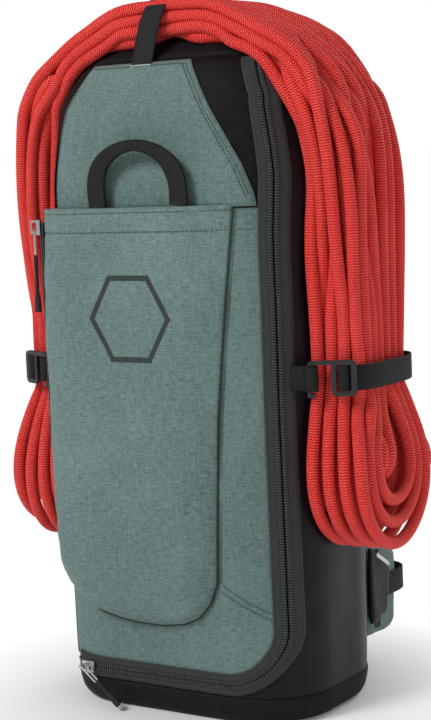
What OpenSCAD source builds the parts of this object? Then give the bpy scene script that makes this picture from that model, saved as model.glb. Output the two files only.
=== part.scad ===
// Rope storage bag: a tall crag pack whose front door opens on one zip,
// with a coiled rope carried over its crown and held by three straps.
// Front faces -Y, the wearer's back is at +Y, and Z = 0 is the floor.

/* [Bag] */
// Width of the tube at mid height
bag_w = 242; // [230:1:256]
// Depth of the tube at mid height
bag_d = 162; // [154:1:172]
// Height of the crown above the floor
bag_h = 540; // [530:1:560]
// Thickness of the coated fabric with its foam lining
wall = 3; // [2:0.5:4]

/* [Pocket and flap] */
// How far the pocket stands in front of the tube
pocket_t = 18; // [16:1:24]
// Height of the pocket's top hem
pocket_top = 408; // [396:1:412]
// Thickness of the applied front flap
flap_t = 1.2; // [0.8:0.1:2]

/* [Rope and straps] */
// Width of the strap webbing
web_w = 20; // [15:1:25]
// Thickness of the strap webbing
web_t = 1.6; // [1.2:0.1:2]
// How far the rope hangs out from the side of the bag
hank_t = 42; // [38:1:46]
// Height of the side strap above the floor
strap_z = 274; // [268:1:280]

/* [Hardware] */
// Thickness of the moulded hooks and buckles
hook_t = 3.6; // [3:0.2:4.4]

/* [Hidden] */
$fn = 32;

corner_r = 62;            // corner radius of the tube at mid height
gap = 0.6;                // free space between parts that move
door_bottom = 32;         // lower edge of the door, where the zip's teeth run
door_top = 523;           // upper edge of the door
door_left = 213.6;        // plan angle of the door's hinge side, degrees
door_right = -44;         // plan angle of the door's zipped side, degrees
door_corner_r = 46;       // radius of the door's lower right corner
door_reach = -125;        // the door's outline runs past its hinge side to here
tape_w = 9;               // width of one zip tape
seam_back = 48;           // plan angle of the seam beside the back panel, degrees
cap_z = 452;              // seam between the side panels and the crown
floor_t = 8;              // thickness of the padded floor
rim_h = 20;               // height of the textured band round the base

// Height, width, depth and corner radius of the tube, from the floor to the crown
STATIONS = [
    [0, bag_w - 12, bag_d - 12, corner_r - 5],
    [12, bag_w - 4, bag_d - 4, corner_r - 2],
    [36, bag_w - 2, bag_d - 2, corner_r - 2],
    [250, bag_w + 2, bag_d + 2, corner_r],
    [430, bag_w, bag_d, corner_r],
    [490, bag_w - 14, bag_d - 12, corner_r - 2],
    [bag_h - 18, bag_w - 52, bag_d - 42, corner_r - 12],
    [bag_h, bag_w - 122, bag_d - 96, corner_r - 32]
];
// Points of the rope strap's middle line in the YZ plane, front seam to rear buckle
ROPE_STRAP_PATH = [
    [-60.8, 524.5], [-61.5, 548], [-57.5, 563], [-46, 572.4], [-28, 574], [34, 574], [51, 572.4],
    [60.5, 564], [63.6, 549.5]
];
// Height, half width and depth of the rope where it arches over the crown
ARCH = [
    [440, 168, 106], [480, 166, 108], [515, 147, 108], [545, 112, 106], [565, 72, 98], [571.5, 38, 84]
];
arch_y = 4; // the rope lies a little behind the middle of the crown
// Points of the side strap's middle line in plan, hook frame to rear seam, right side
SIDE_STRAP_PATH = [
    [151.5, -41.5], [159.3, -38], [166, -30], [170, -16], [171, 10], [169, 36], [158, 56], [138, 63],
    [112, 63]
];
hook_foot = [112.5, -62]; // plan place that the hook's line starts from, just off the bag's corner
hook_turn = 24;           // plan angle of the hook's line, degrees
hook_root = [4.3, 10.6];  // where the short strap is sewn on, in the hook's line
loop_x = 17.5;            // middle of the short strap's loop, along the hook's line
slot_h = 3.6;             // width of a webbing slot in a buckle

module rounded(w, d, r) {
    square([w - 2 * r, d], center = true);
    square([w, d - 2 * r], center = true);
    for (x = [-1, 1], y = [-1, 1])
        translate([x * (w / 2 - r), y * (d / 2 - r)]) circle(r);
}

// The outside of the bag, grown outwards by g (a negative g gives the inside)
module bag_form(g = 0) {
    hull()
        for (s = STATIONS)
            translate([0, 0, s[0] == 0 ? -g : s[0] == bag_h ? bag_h + g : s[0]])
                linear_extrude(0.01)
                    rounded(s[1] + 2 * g, s[2] + 2 * g, max(4, s[3] + g));
}

module shell() {
    difference() {
        bag_form(0);
        bag_form(-wall);
    }
}

// A wedge seen in plan between two angles measured at the corner centres, over heights z0 to z1
function corner(a) = [
    sign(cos(a)) * (bag_w / 2 - corner_r), sign(sin(a)) * (bag_d / 2 - corner_r)
];
function on_tube(a, off = 0) = corner(a) + (corner_r + off) * [cos(a), sin(a)];
function far(a) = corner(a) + 400 * [cos(a), sin(a)];
function inner(a) = corner(a) * 0.98;

module sector(points, z0, z1)
    translate([0, 0, z0]) linear_extrude(z1 - z0) polygon(points);

// The front of the tube between two plan angles, from height z0 to z1
module front_sector(a0, a1, z0, z1)
    sector([inner(a0), far(a0), [far(a0)[0], -400], [far(a1)[0], -400], far(a1), inner(a1)], z0, z1);

module side_sector(a_front, a_back, z0, z1)
    sector([inner(a_front), far(a_front), [400, far(a_front)[1]], [400, far(a_back)[1]], far(a_back),
            inner(a_back)], z0, z1);

// The door's outline seen from the front, drawn in by inset; it narrows with the crown
module door_outline(inset = 0) {
    edge = on_tube(door_right)[0];
    r = door_corner_r;
    offset(delta = -inset)
        union() {
            polygon([[door_reach, door_bottom], [edge - r, door_bottom], [edge, door_bottom + r],
                     [edge, 430], [edge - 6.5, 490], [edge - 22.5, door_top], [door_reach, door_top]]);
            translate([edge - r, door_bottom + r]) circle(r);
        }
}

// The door's outline pushed back through the front of the bag
module through_front()
    translate([0, -30, 0]) rotate([90, 0, 0]) linear_extrude(200) children();

module door_volume(inset = 0)
    intersection() {
        through_front() door_outline(inset);
        front_sector(door_left + inset, -10, 0, 600);
    }

// A flat strap of thickness t and width w whose middle line is path, lying in the XY plane
module band(path, t, w) {
    n = len(path);
    function dir(i) = path[min(i + 1, n - 1)] - path[max(i - 1, 0)];
    function side(i) = [dir(i)[1], -dir(i)[0]] / norm(dir(i)) * t / 2;
    linear_extrude(w, center = true)
        polygon(concat([for (i = [0:n - 1]) path[i] + side(i)],
                       [for (i = [n - 1:-1:0]) path[i] - side(i)]));
}

// ---------------------------------------------------------------- shell of the bag

module base_floor() {
    color("#232325")
        linear_extrude(floor_t)
            rounded(bag_w - 12 - 2 * wall, bag_d - 12 - 2 * wall, corner_r - 5 - wall);
}

module base_rim() {
    color("#1b1b1c")
        difference() {
            intersection() {
                bag_form(0);
                translate([-200, -200, 0]) cube([400, 400, rim_h]);
            }
            translate([0, 0, -1])
                linear_extrude(30)
                    rounded(bag_w - 12 - 2 * wall + 0.06, bag_d - 12 - 2 * wall + 0.06, corner_r - 5 - wall);
        }
}

module front_sill() {
    color("#29292c")
        difference() {
            intersection() {
                shell();
                front_sector(door_left, door_right, rim_h, door_bottom + 0.7 * door_corner_r);
            }
            door_volume();
        }
}

module side_panel(right = true) {
    color("#29292c")
        mirror([right ? 0 : 1, 0, 0])
            difference() {
                intersection() {
                    shell();
                    side_sector(right ? door_right : 180 - door_left, seam_back, rim_h, cap_z);
                }
                if (right) door_volume();
            }
}

module back_panel() {
    color("#1f1f21")
        intersection() {
            shell();
            sector([inner(seam_back + 16), far(seam_back + 16), [0, 400], far(164 - seam_back),
                    inner(164 - seam_back)], rim_h, cap_z);
        }
}

module rear_strip(right = true) {
    color("#5d7a70")
        mirror([right ? 0 : 1, 0, 0])
            intersection() {
                shell();
                sector([inner(seam_back), far(seam_back), far(seam_back + 16), inner(seam_back + 16)], rim_h,
                       cap_z);
            }
}

module top_cap() {
    color("#18181a")
        difference() {
            intersection() {
                shell();
                translate([-200, -200, cap_z]) cube([400, 400, 120]);
            }
            door_volume();
        }
}

module frame_sheet() {
    color("#303034")
        translate([0, bag_d / 2 - wall - 6, 60]) rotate([-90, 0, 0])
            linear_extrude(2.5) translate([0, -190]) rounded(120, 380, 20);
}

module gear_rail() {
    // Webbing rail with five loops sewn across the inside of the back, under the crown
    color("#1a1a1a")
        difference() {
            translate([-60, bag_d / 2 - wall - 16, 455]) cube([120, 9, web_w]);
            for (i = [-2:2])
                translate([i * 23 - 9, bag_d / 2 - wall - 14.4, 450]) cube([18, 5.8, 40]);
        }
}

module zip_band(w0, w1) {
    // A strip beside the door's edge, from w0 to w1 outside it, lying on the bag's outside
    difference() {
        intersection() {
            difference() {
                bag_form(1.4);
                bag_form(0.2);
            }
            through_front()
                difference() {
                    door_outline(-w1);
                    door_outline(-w0);
                }
        }
        translate([-400, -400, door_top - 9]) cube([800, 800, 200]);
        translate([-500, -400, -10]) cube([404, 800, 800]);
    }
}

module body_zip_tape() color("#2c2e2e") zip_band(gap, tape_w);
module door_zip_tape() color("#2c2e2e") zip_band(-tape_w, -gap);

module back_pad(side) {
    color("#26262a")
        translate([side * 40, bag_d / 2 + 1.4, 250]) rotate([-90, 0, 0])
            linear_extrude(12) rounded(58, 340, 22);
}

module harness_yoke()
    // Padded bar sewn across the back, from which both shoulder straps hang
    color("#26262a")
        translate([0, bag_d / 2 + 1.4, 447]) rotate([-90, 0, 0])
            linear_extrude(12) rounded(168, 22, 9);

// ---------------------------------------------------------------- handles and webbing

// Upright webbing loop in the XZ plane, legs at +-span/2, w wide across its face
module loop_handle(span, rise, t, w) {
    rotate([90, 0, 0])
        linear_extrude(t, center = true)
            difference() {
                union() {
                    translate([-span / 2 - w / 2, 0]) square([span + w, rise - span / 4]);
                    translate([0, rise - span / 4 - 6]) resize([span + w, span]) circle(span / 2, $fn = 64);
                }
                translate([-span / 2 + w / 2, -1]) square([span - w, rise - span / 4 - w / 2 + 1]);
                translate([0, rise - span / 4 - w / 2]) resize([span - w, span - 1.6 * w])
                    circle(span / 2, $fn = 64);
                translate([-100, -100]) square([200, 100]);
            }
}

module haul_handle()
    color("#151515") translate([-1, -91, pocket_top + 2.5]) loop_handle(78, 47, 3.2, 18);

module rear_haul_loop()
    color("#151515") {
        translate([0, 88, 462]) loop_handle(70, 34, 3, 16);
        for (x = [-1, 1]) translate([x * 35 - 8, 80.2, 462]) cube([16, 6.3, 12]);
    }

module lower_webbing(side)
    color("#161616")
        translate([side * strap_x, 0, 0]) rotate([90, 0, 90])
            band([[82.6, 36], [84, 54], [97, 80], [100, 150]], web_t, web_w);

// ---------------------------------------------------------------- rope carrying straps

module rope_strap()
    color("#151515")
        translate([-8, 0, 0]) rotate([90, 0, 90]) band(ROPE_STRAP_PATH, web_t, web_w);

module rope_strap_anchor()
    color("#151515")
        translate([-8, 0, 0]) rotate([90, 0, 90])
            band([[70.5, 513], [68.2, 527]], web_t, web_w);

module rope_strap_buckle()
    // Ladder lock between the rope strap and its rear anchor
    color("#0f0f10")
        translate([-8, 66, 538]) rotate([8, 0, 0])
            difference() {
                translate([-web_w / 2 - 4, -2, -10]) cube([web_w + 8, 4, 20]);
                for (z = [-6, 2.4]) translate([-web_w / 2, -3, z]) cube([web_w, 6, slot_h]);
            }

module side_strap(right = true)
    color("#151515")
        mirror([right ? 0 : 1, 0, 0])
            translate([0, 0, strap_z]) band(SIDE_STRAP_PATH, web_t, web_w);

module on_hook_line(right = true)
    mirror([right ? 0 : 1, 0, 0])
        translate([hook_foot[0], hook_foot[1], strap_z]) rotate([0, 0, hook_turn]) children();

module hook_anchor(right = true)
    // Short strap sewn to the side panel, ending in a loop for the hook
    color("#151515")
        difference() {
            on_hook_line(right)
                difference() {
                    union() {
                        band([hook_root, [loop_x, 0]], 2 * web_t, web_w);
                        translate([loop_x, 0, 0]) cylinder(d = 10.4, h = web_w, center = true);
                    }
                    translate([loop_x, 0, 0]) cylinder(d = 8, h = web_w + 2, center = true);
                }
            bag_form(0.02);
        }

module hook(right = true)
    // Open hook that drops into the loop, with a three-bar webbing frame, in one moulding
    color("#1d2124")
        on_hook_line(right) {
            translate([loop_x - 1.7, 0, -web_w / 2 - 4.6]) cylinder(d = hook_t, h = web_w + 3.6);
            rotate([90, 0, 0])
                linear_extrude(hook_t, center = true) {
                    hook_arm();
                    translate([loop_x - 1.7, -web_w / 2 - 4.6]) square([3.3, 3]);
                    translate([loop_x + 1.6, -web_w / 2 - 3.1]) circle(1.5);
                    difference() {
                        translate([42.5, 0]) rounded(19.6, web_w + 7.6, 4.6);
                        for (x = [38, 46.2]) translate([x, 0]) rounded(slot_h, web_w + 1.2, 1.2);
                    }
                }
        }

// Curved arm from the hook's leg over to its frame, seen from the front
module hook_arm()
    translate([loop_x + 1.5, web_w / 2 - 1]) {
        difference() {
            circle(4.8);
            circle(1.4);
            translate([0, -10]) square([10, 20]);
            translate([-10, -10]) square([20, 10]);
        }
        translate([0, 1.4]) square([20, 3.4]);
    }

// ---------------------------------------------------------------- rope, as the space its strands fill

module hank_slice(z, x0, x1, y0, y1)
    translate([(x0 + x1) / 2, (y0 + y1) / 2, z])
        linear_extrude(0.5) rounded(x1 - x0, y1 - y0, min(x1 - x0, y1 - y0) * 0.42);

module rope_run(right = true)
    color("#d32a1e")
        mirror([right ? 0 : 1, 0, 0])
            difference() {
                hull()
                    for (z = [246, 325, 439.4])
                        hank_slice(z, 106, bag_w / 2 + hank_t, -50, z < 400 ? 50 : 56);
                bag_form(0.5);
                on_hook_line() translate([-10, -30, -40]) cube([90, 37, 88.3]);
            }

module rope_loops(right = true)
    color("#d32a1e")
        mirror([right ? 0 : 1, 0, 0])
            difference() {
                hull() {
                    hank_slice(245.3, 108, bag_w / 2 + hank_t, -50, 50);
                    hank_slice(205, 114, 169, -56, 62);
                    hank_slice(165, 116, 171, -56, 70);
                    hank_slice(127, 128, 160, -40, 40);
                }
                bag_form(0.5);
            }

module rope_arch()
    color("#d32a1e")
        difference() {
            hull()
                for (s = ARCH)
                    translate([0, arch_y, s[0]]) linear_extrude(0.5) rounded(2 * s[1], s[2], 24);
            bag_form(0.5);
            intersection() {
                bag_form(4.5);
                translate([-200, -200, 400]) cube([400, 172, 200]);
            }
        }

// ---------------------------------------------------------------- door

module door_panel()
    color("#5d7a70")
        intersection() {
            shell();
            door_volume(gap);
        }

module front_flap()
    color("#5d7a70")
        intersection() {
            difference() {
                bag_form(flap_t);
                bag_form(0);
            }
            through_front()
                polygon([[-60, 520], [34, 520], [94, pocket_top + 1], [-96, pocket_top + 1], [-94, 440],
                         [-84, 484]]);
        }

pocket_front = -bag_d / 2 - pocket_t; // the pocket's front face
gusset = [-92, -74];                   // centre of the pocket's rounded left wall
gusset_r = 14;
gusset_turn = 213;                     // plan angle in which the pocket's zip faces
mouth_z = 215;                         // lower end of the pocket's zip

module pocket_plan()
    hull() {
        translate(gusset) circle(gusset_r);
        translate([-74, pocket_front + 14]) circle(14);
        translate([34, pocket_front + 12]) circle(12);
        translate([84, -74]) circle(4);
    }

module pocket_face() {
    polygon([[door_reach, pocket_top], [91, pocket_top], [80, 338], [69, 246], [61, 152], [60, 112],
             [22, 74], [-21, 74], [-61, 80], [-80, 92], [door_reach, 104]]);
    translate([22, 112]) circle(38);
}

module front_pocket()
    color("#5d7a70")
        difference() {
            intersection() {
                linear_extrude(pocket_top) pocket_plan();
                through_front() pocket_face();
            }
            bag_form(1.5);
            translate([-86, pocket_front + 4, 92]) cube([106, 10, pocket_top - 100]);
            translate([-140, pocket_front + 9, mouth_z]) cube([60, 6, pocket_top - 8 - mouth_z]);
        }

module printed_emblem()
    // Plain hexagon outline, printed on the pocket
    color("#1c1c1e")
        translate([-8, pocket_front, 322]) rotate([90, 0, 0])
            linear_extrude(0.4)
                difference() {
                    circle(40, $fn = 6);
                    circle(34, $fn = 6);
                }

module size_tab()
    color("#9aa09d")
        translate([-22, -65, 516.4]) rotate([-25, 0, 0]) cube([20, 0.8, 3.4]);

// Local frame of the pocket's zip: Z up, and -Y pointing out of the gusset
module on_gusset(off, z)
    translate([gusset[0] + (gusset_r + off) * cos(gusset_turn),
               gusset[1] + (gusset_r + off) * sin(gusset_turn), z])
        rotate([0, 0, gusset_turn - 270]) children();

module pocket_zip_tape()
    color("#232527")
        on_gusset(0.3, mouth_z) translate([-6, -1.2, 0]) cube([12, 1.2, pocket_top - 8 - mouth_z]);

// ---------------------------------------------------------------- zip sliders and pulls

module slider_body() {
    // Slider for a zip along X whose outside faces -Y: body, and the bridge over it
    difference() {
        translate([-6, -3, -4.5]) cube([12, 3, 9]);
        translate([-7, -1.1, -1.2]) cube([14, 1.2, 2.4]);
    }
    for (x = [-5.9, 3]) translate([x, -6.9, -1.1]) cube([1.6, 4, 2.2]);
    translate([-5.9, -8, -1.1]) cube([10.5, 1.2, 2.2]);
}

module pull_wire(l) {
    // Wire link in the XZ plane that hangs by l: a slot-shaped ring with its top eye at the origin
    rotate([90, 0, 0])
        linear_extrude(1.4, center = true)
            difference() {
                union() {
                    translate([-2.9, -l]) square([5.8, l]);
                    for (z = [0, -l]) translate([0, z]) circle(2.9);
                }
                translate([-1.5, -l]) square([3, l]);
                for (z = [0, -l]) translate([0, z]) circle(1.5);
            }
}

module pull_cord(l) {
    // Knotted cord with a moulded grip at its free end
    translate([0, 0, -l]) cylinder(d = 3.2, h = l);
    translate([0, 0, -l]) cylinder(d1 = 5.8, d2 = 4.6, h = 14);
}

main_slider = [-76, -bag_d / 2 - 2.4, door_bottom]; // middle of the main slider's back
main_sway = 51;                                     // lean of the main pull along the zip

module on_main_pull() translate(main_slider + [0, -7.4, 0]) rotate([0, -main_sway, 0]) children();
module main_zip_slider() color("#b9bcbf") translate(main_slider) slider_body();
module main_pull_wire() color("#c9cbcd") on_main_pull() translate([0, 0, 1.4]) rotate([0, 0, 90]) pull_wire(15);
module main_pull_cord() color("#171717") on_main_pull() translate([0, 0, -16.8]) pull_cord(26);

pocket_slider_z = pocket_top - 14; // middle of the pocket's slider

module on_pocket_pull() on_gusset(2, pocket_slider_z) translate([0, -4.9, -3.6]) children();
module pocket_zip_slider() color("#b9bcbf") on_gusset(2, pocket_slider_z) rotate([0, 90, 0]) slider_body();
module pocket_pull_wire() color("#c9cbcd") on_pocket_pull() pull_wire(16);
module pocket_pull_cord() color("#171717") on_pocket_pull() translate([0, 0, -19.2]) pull_cord(46);

// ---------------------------------------------------------------- hip belt

belt_z = 74;    // middle height of the hip webbing
belt_y = 158;   // where the folded-in webbing lies behind the back
// Plan points of the hip webbing's middle line, wing to buckle
BELT_PATH = [[98.6, 106], [98.8, 134], [96, 146], [88, 154], [76, belt_y], [62, belt_y]];

module wing(side)
    mirror([side > 0 ? 0 : 1, 0, 0]) children();

module hip_wing(side)
    color("#4d665d")
        wing(side)
            translate([88, 0, 0]) rotate([90, 0, 90])
                linear_extrude(9) polygon([[77, 36], [77, 112], [114, 112], [132, 98], [128, 40], [118, 34]]);

module wing_cover(side)
    // Coated outer cover of the wing's padded root
    color("#1d1d1f")
        wing(side)
            translate([99.8, 0, 0]) rotate([90, 0, 90])
                linear_extrude(3.6) polygon([[75, 46], [75, 116], [86, 106], [110, 92], [104, 54]]);

module hip_webbing(side)
    color("#151515") wing(side) translate([0, 0, belt_z]) band(BELT_PATH, web_t, web_w);

module hip_buckle_socket()
    color("#101011")
        translate([26, belt_y - 4.5, belt_z - 15])
            difference() {
                cube([36, 9, 30]);
                translate([-1, 1.9, 4]) cube([26, 5.2, 22]);
                for (z = [-1, 27]) translate([8, 1.5, z]) cube([13, 6, 4]);
                translate([29.4, -1, 4]) cube([slot_h, 11, 22]);
            }

module hip_buckle_plug()
    color("#101011")
        wing(-1)
            translate([62, belt_y, belt_z]) {
                difference() {
                    translate([-12, -4.5, -15]) cube([12, 9, 30]);
                    translate([-6.6, -6, -11]) cube([slot_h, 12, 22]);
                }
                translate([-35, -2, -3]) cube([24, 4, 6]);
                for (z = [-1, 1]) translate([-33, -2, z * 8.4 - 2]) cube([22, 4, 4]);
                for (z = [-1, 1]) translate([-36, -2, z * 9.4 - 2.6]) cube([7, 4, 5.2]);
            }

// ---------------------------------------------------------------- shoulder harness

strap_x = 54;  // middle of each shoulder strap, out from the bag's middle
strap_r = 330; // bow radius of the padded shoulder straps, seen from the side

// Bowed strip in the YZ plane from the top anchor down to the adjuster
module strap_profile(t)
    intersection() {
        difference() {
            translate([-204, 312]) circle(strap_r + t, $fn = 96);
            translate([-204, 312]) circle(strap_r, $fn = 96);
        }
        translate([60, 172]) square([120, 280]);
    }

module shoulder_strap(side)
    color("#2a2a2e")
        translate([side * strap_x, 0, 0]) rotate([90, 0, 90])
            linear_extrude(52, center = true) strap_profile(10);

module ladder_lock(side)
    color("#101011")
        translate([side * strap_x, 100, 163])
            difference() {
                translate([-14, -2, -8.5]) cube([28, 4, 17.2]);
                for (z = [-5.2, 1.6]) translate([-10.5, -3, z]) cube([21, 6, slot_h]);
            }

sternum_y = 131;  // inner face of the sternum webbing
sternum_z = 380;

module sternum_strap_right()
    color("#121212") {
        translate([10, sternum_y, sternum_z - 7.5]) cube([66, web_t, 15]);
        translate([-14, sternum_y - 2.6, sternum_z - 10])
            difference() {
                cube([26, 7, 20]);
                translate([-1, 1.6, 3]) cube([17, 3.8, 14]);
                for (z = [-1, 17]) translate([4, 2, z]) cube([9, 3, 4]);
            }
    }

module sternum_strap_left()
    color("#121212") {
        translate([-76, sternum_y, sternum_z - 7.5]) cube([58, web_t, 15]);
        translate([-24, sternum_y - 2.6, sternum_z - 10]) cube([9, 7, 20]);
        translate([-16, sternum_y - 0.6, sternum_z - 1.6]) cube([14, 3, 3.2]);
        for (z = [-5.6, 3]) translate([-16, sternum_y - 0.6, sternum_z + z]) cube([12, 3, 2.6]);
    }

base_floor();
base_rim();
front_sill();
side_panel(true);  // side_panel_right
side_panel(false);  // side_panel_left
back_panel();
top_cap();
rear_strip(true);  // rear_strip_right
rear_strip(false);  // rear_strip_left
frame_sheet();
gear_rail();
body_zip_tape();
back_pad(1);  // back_pad_right
back_pad(-1);  // back_pad_left
harness_yoke();
rear_haul_loop();
rope_strap();
rope_strap_buckle();
rope_strap_anchor();
hook_anchor(true);  // hook_anchor_right
hook_anchor(false);  // hook_anchor_left
wing_cover(1);  // wing_cover_right
wing_cover(-1);  // wing_cover_left
lower_webbing(1);  // lower_webbing_right
lower_webbing(-1);  // lower_webbing_left
rope_arch();
rope_run(true);  // rope_run_right
rope_run(false);  // rope_run_left
rope_loops(true);  // rope_loops_right
rope_loops(false);  // rope_loops_left
door_panel();
front_flap();
front_pocket();
printed_emblem();
size_tab();
door_zip_tape();
pocket_zip_tape();
haul_handle();
main_zip_slider();
main_pull_wire();
main_pull_cord();
pocket_zip_slider();
pocket_pull_wire();
pocket_pull_cord();
hook(true);  // hook_right
side_strap(true);  // hook_strap_right
hook(false);  // hook_left
side_strap(false);  // hook_strap_left
hip_wing(1);  // hip_wing_right
hip_webbing(1);  // hip_webbing_right
hip_buckle_socket();
hip_wing(-1);  // hip_wing_left
hip_webbing(-1);  // hip_webbing_left
hip_buckle_plug();
shoulder_strap(1);  // shoulder_strap_right
shoulder_strap(-1);  // shoulder_strap_left
ladder_lock(1);  // ladder_lock_right
ladder_lock(-1);  // ladder_lock_left
sternum_strap_right();
sternum_strap_left();
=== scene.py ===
# %% [markdown]
# # Rope storage bag: the looks around a fixed frame
# The CAD model gives the hard parts and where everything sits; this lesson dresses it. The bag is
# coated cloth, ripstop and webbing, and the coiled rope is one real length of line. Cloth is built as
# thin closed shells over a lofted tube, so that every seam can be placed by its height and its place
# round the bag. Sizes in this file are millimetres until a mesh is made, and metres in Blender.

import math

import bmesh
import bpy
import numpy as np
from mathutils import Matrix, Vector
from mathutils.kdtree import KDTree


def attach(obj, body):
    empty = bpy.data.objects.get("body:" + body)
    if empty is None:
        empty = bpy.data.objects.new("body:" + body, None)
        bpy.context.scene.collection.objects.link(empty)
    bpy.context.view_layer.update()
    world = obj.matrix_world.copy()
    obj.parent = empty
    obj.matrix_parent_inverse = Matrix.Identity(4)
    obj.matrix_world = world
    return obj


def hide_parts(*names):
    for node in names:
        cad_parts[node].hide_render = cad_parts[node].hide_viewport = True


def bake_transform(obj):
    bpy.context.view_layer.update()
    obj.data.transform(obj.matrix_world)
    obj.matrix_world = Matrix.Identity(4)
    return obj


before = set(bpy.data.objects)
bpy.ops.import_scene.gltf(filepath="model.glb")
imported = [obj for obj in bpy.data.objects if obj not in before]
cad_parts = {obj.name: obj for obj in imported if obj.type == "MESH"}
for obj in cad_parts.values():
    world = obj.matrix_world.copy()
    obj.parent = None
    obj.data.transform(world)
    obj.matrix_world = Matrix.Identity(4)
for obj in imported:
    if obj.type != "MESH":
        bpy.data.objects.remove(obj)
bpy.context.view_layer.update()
scene = bpy.context.scene
print("CAD nodes:", len(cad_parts))

# %% [markdown]
# ## Camera, light and floor
# The camera stands to the right of the front and a little below the crown, with a long lens, so that
# the front and the right side show together. One soft key light, a weak fill and a dim, even world
# model the folds; the floor turns plain white away from the bag, so its shadow stays faint.

# %% Camera
psi, dist, cam_z = math.radians(33.614), 1461.0, 440.4
target_x, target_z, roll = 4.54, 278.5, math.radians(-2.347)
eye = Vector((math.sin(psi) * dist, -math.cos(psi) * dist, cam_z))
aim = Vector((target_x * math.cos(psi), target_x * math.sin(psi), target_z))
forward = (aim - eye).normalized()
right = forward.cross(Vector((0, 0, 1))).normalized()
up = right.cross(forward)
cam_right = math.cos(roll) * right + math.sin(roll) * up
cam_up = -math.sin(roll) * right + math.cos(roll) * up
cam_data = bpy.data.cameras.new("camera")
cam_data.lens, cam_data.sensor_width = 88.87, 36.0
camera = bpy.data.objects.new("camera", cam_data)
camera.matrix_world = Matrix((
    (cam_right.x, cam_up.x, -forward.x, eye.x / 1000),
    (cam_right.y, cam_up.y, -forward.y, eye.y / 1000),
    (cam_right.z, cam_up.z, -forward.z, eye.z / 1000),
    (0, 0, 0, 1)))
scene.collection.objects.link(camera)
scene.camera = camera
print("camera at", [round(v / 1000, 3) for v in eye])


# %% Light and floor
def area_light(name, place, target, size, power):
    data = bpy.data.lights.new(name, "AREA")
    data.shape, data.size, data.energy = "DISK", size, power
    obj = bpy.data.objects.new(name, data)
    obj.location = place
    obj.rotation_euler = (Vector(target) - Vector(place)).to_track_quat("-Z", "Y").to_euler()
    scene.collection.objects.link(obj)


area_light("key", (-0.7, -1.9, 1.9), (0, 0, 0.3), 1.0, 44)
area_light("fill", (2.2, -0.9, 0.9), (0, 0, 0.3), 1.3, 5)
area_light("back", (0.6, 1.9, 1.5), (0, 0, 0.35), 1.2, 16)
world = bpy.data.worlds.new("studio")
world.use_nodes = True
sky = world.node_tree.nodes["Background"]
sky.inputs["Color"].default_value = (1, 1, 1, 1)
seen = world.node_tree.nodes.new("ShaderNodeLightPath")
level = world.node_tree.nodes.new("ShaderNodeMapRange")
level.inputs[3].default_value, level.inputs[4].default_value = 0.26, 1.0
world.node_tree.links.new(seen.outputs["Is Camera Ray"], level.inputs[0])
world.node_tree.links.new(level.outputs[0], sky.inputs["Strength"])
scene.world = world
scene.view_settings.view_transform = "Standard"

bpy.ops.mesh.primitive_plane_add(size=12, location=(0, 0, -0.0005))
floor = bpy.context.object
floor.name = "floor"
floor_mat = bpy.data.materials.new("floor")
floor_mat.use_nodes = True
paint = floor_mat.node_tree.nodes["Principled BSDF"]
paint.inputs["Base Color"].default_value = (0.93, 0.93, 0.93, 1)
paint.inputs["Roughness"].default_value = 0.9
place = floor_mat.node_tree.nodes.new("ShaderNodeTexCoord")
reach = floor_mat.node_tree.nodes.new("ShaderNodeVectorMath")
reach.operation = "LENGTH"
fade = floor_mat.node_tree.nodes.new("ShaderNodeMapRange")
fade.inputs[1].default_value, fade.inputs[2].default_value = 0.1, 0.26
white = floor_mat.node_tree.nodes.new("ShaderNodeEmission")
white.inputs["Color"].default_value, white.inputs["Strength"].default_value = (1, 1, 1, 1), 1.0
blend = floor_mat.node_tree.nodes.new("ShaderNodeMixShader")
for source, target in ((place.outputs["Object"], reach.inputs[0]), (reach.outputs["Value"], fade.inputs[0]),
                       (fade.outputs[0], blend.inputs[0]), (paint.outputs[0], blend.inputs[1]),
                       (white.outputs[0], blend.inputs[2]),
                       (blend.outputs[0], floor_mat.node_tree.nodes["Material Output"].inputs[0])):
    floor_mat.node_tree.links.new(source, target)
floor.data.materials.append(floor_mat)

# %% [markdown]
# ## Mesh tools
# Every soft piece here is a grid of points: a sheet with two faces and closed edges, or a tube swept
# along a line. Two small builders make both, with smooth normals and a UV map in millimetres.


# %% Mesh tools
def make_mesh(name, verts, faces, uvs):
    """A smooth mesh object from millimetre points, quads and one UV per face corner."""
    mesh = bpy.data.meshes.new(name)
    verts = np.asarray(verts, float).reshape(-1, 3) / 1000
    faces = np.asarray(faces, np.int32)
    k = faces.shape[1]
    mesh.vertices.add(len(verts))
    mesh.vertices.foreach_set("co", verts.astype(np.float32).ravel())
    mesh.loops.add(faces.size)
    mesh.loops.foreach_set("vertex_index", faces.ravel())
    mesh.polygons.add(len(faces))
    mesh.polygons.foreach_set("loop_start", np.arange(0, faces.size, k, dtype=np.int32))
    mesh.polygons.foreach_set("use_smooth", np.ones(len(faces), bool))
    layer = mesh.uv_layers.new(name="UVMap")
    layer.data.foreach_set("uv", np.asarray(uvs, np.float32).ravel())
    mesh.update(calc_edges=True)
    mesh.validate()
    obj = bpy.data.objects.new(name, mesh)
    scene.collection.objects.link(obj)
    return obj


def grid_faces(n, m, start=0, wrap=False, flip=False):
    """Quads of an n by m grid of points numbered row by row; wrap closes each row on itself."""
    i = np.arange(n - 1)[:, None]
    j = np.arange(m if wrap else m - 1)[None, :]
    a = i * m + j
    b = i * m + (j + 1) % m
    c = (i + 1) * m + (j + 1) % m
    d = (i + 1) * m + j
    order = (d, c, b, a) if flip else (a, b, c, d)
    return np.stack([np.broadcast_to(x, a.shape) for x in order], -1).reshape(-1, 4) + start


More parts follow.
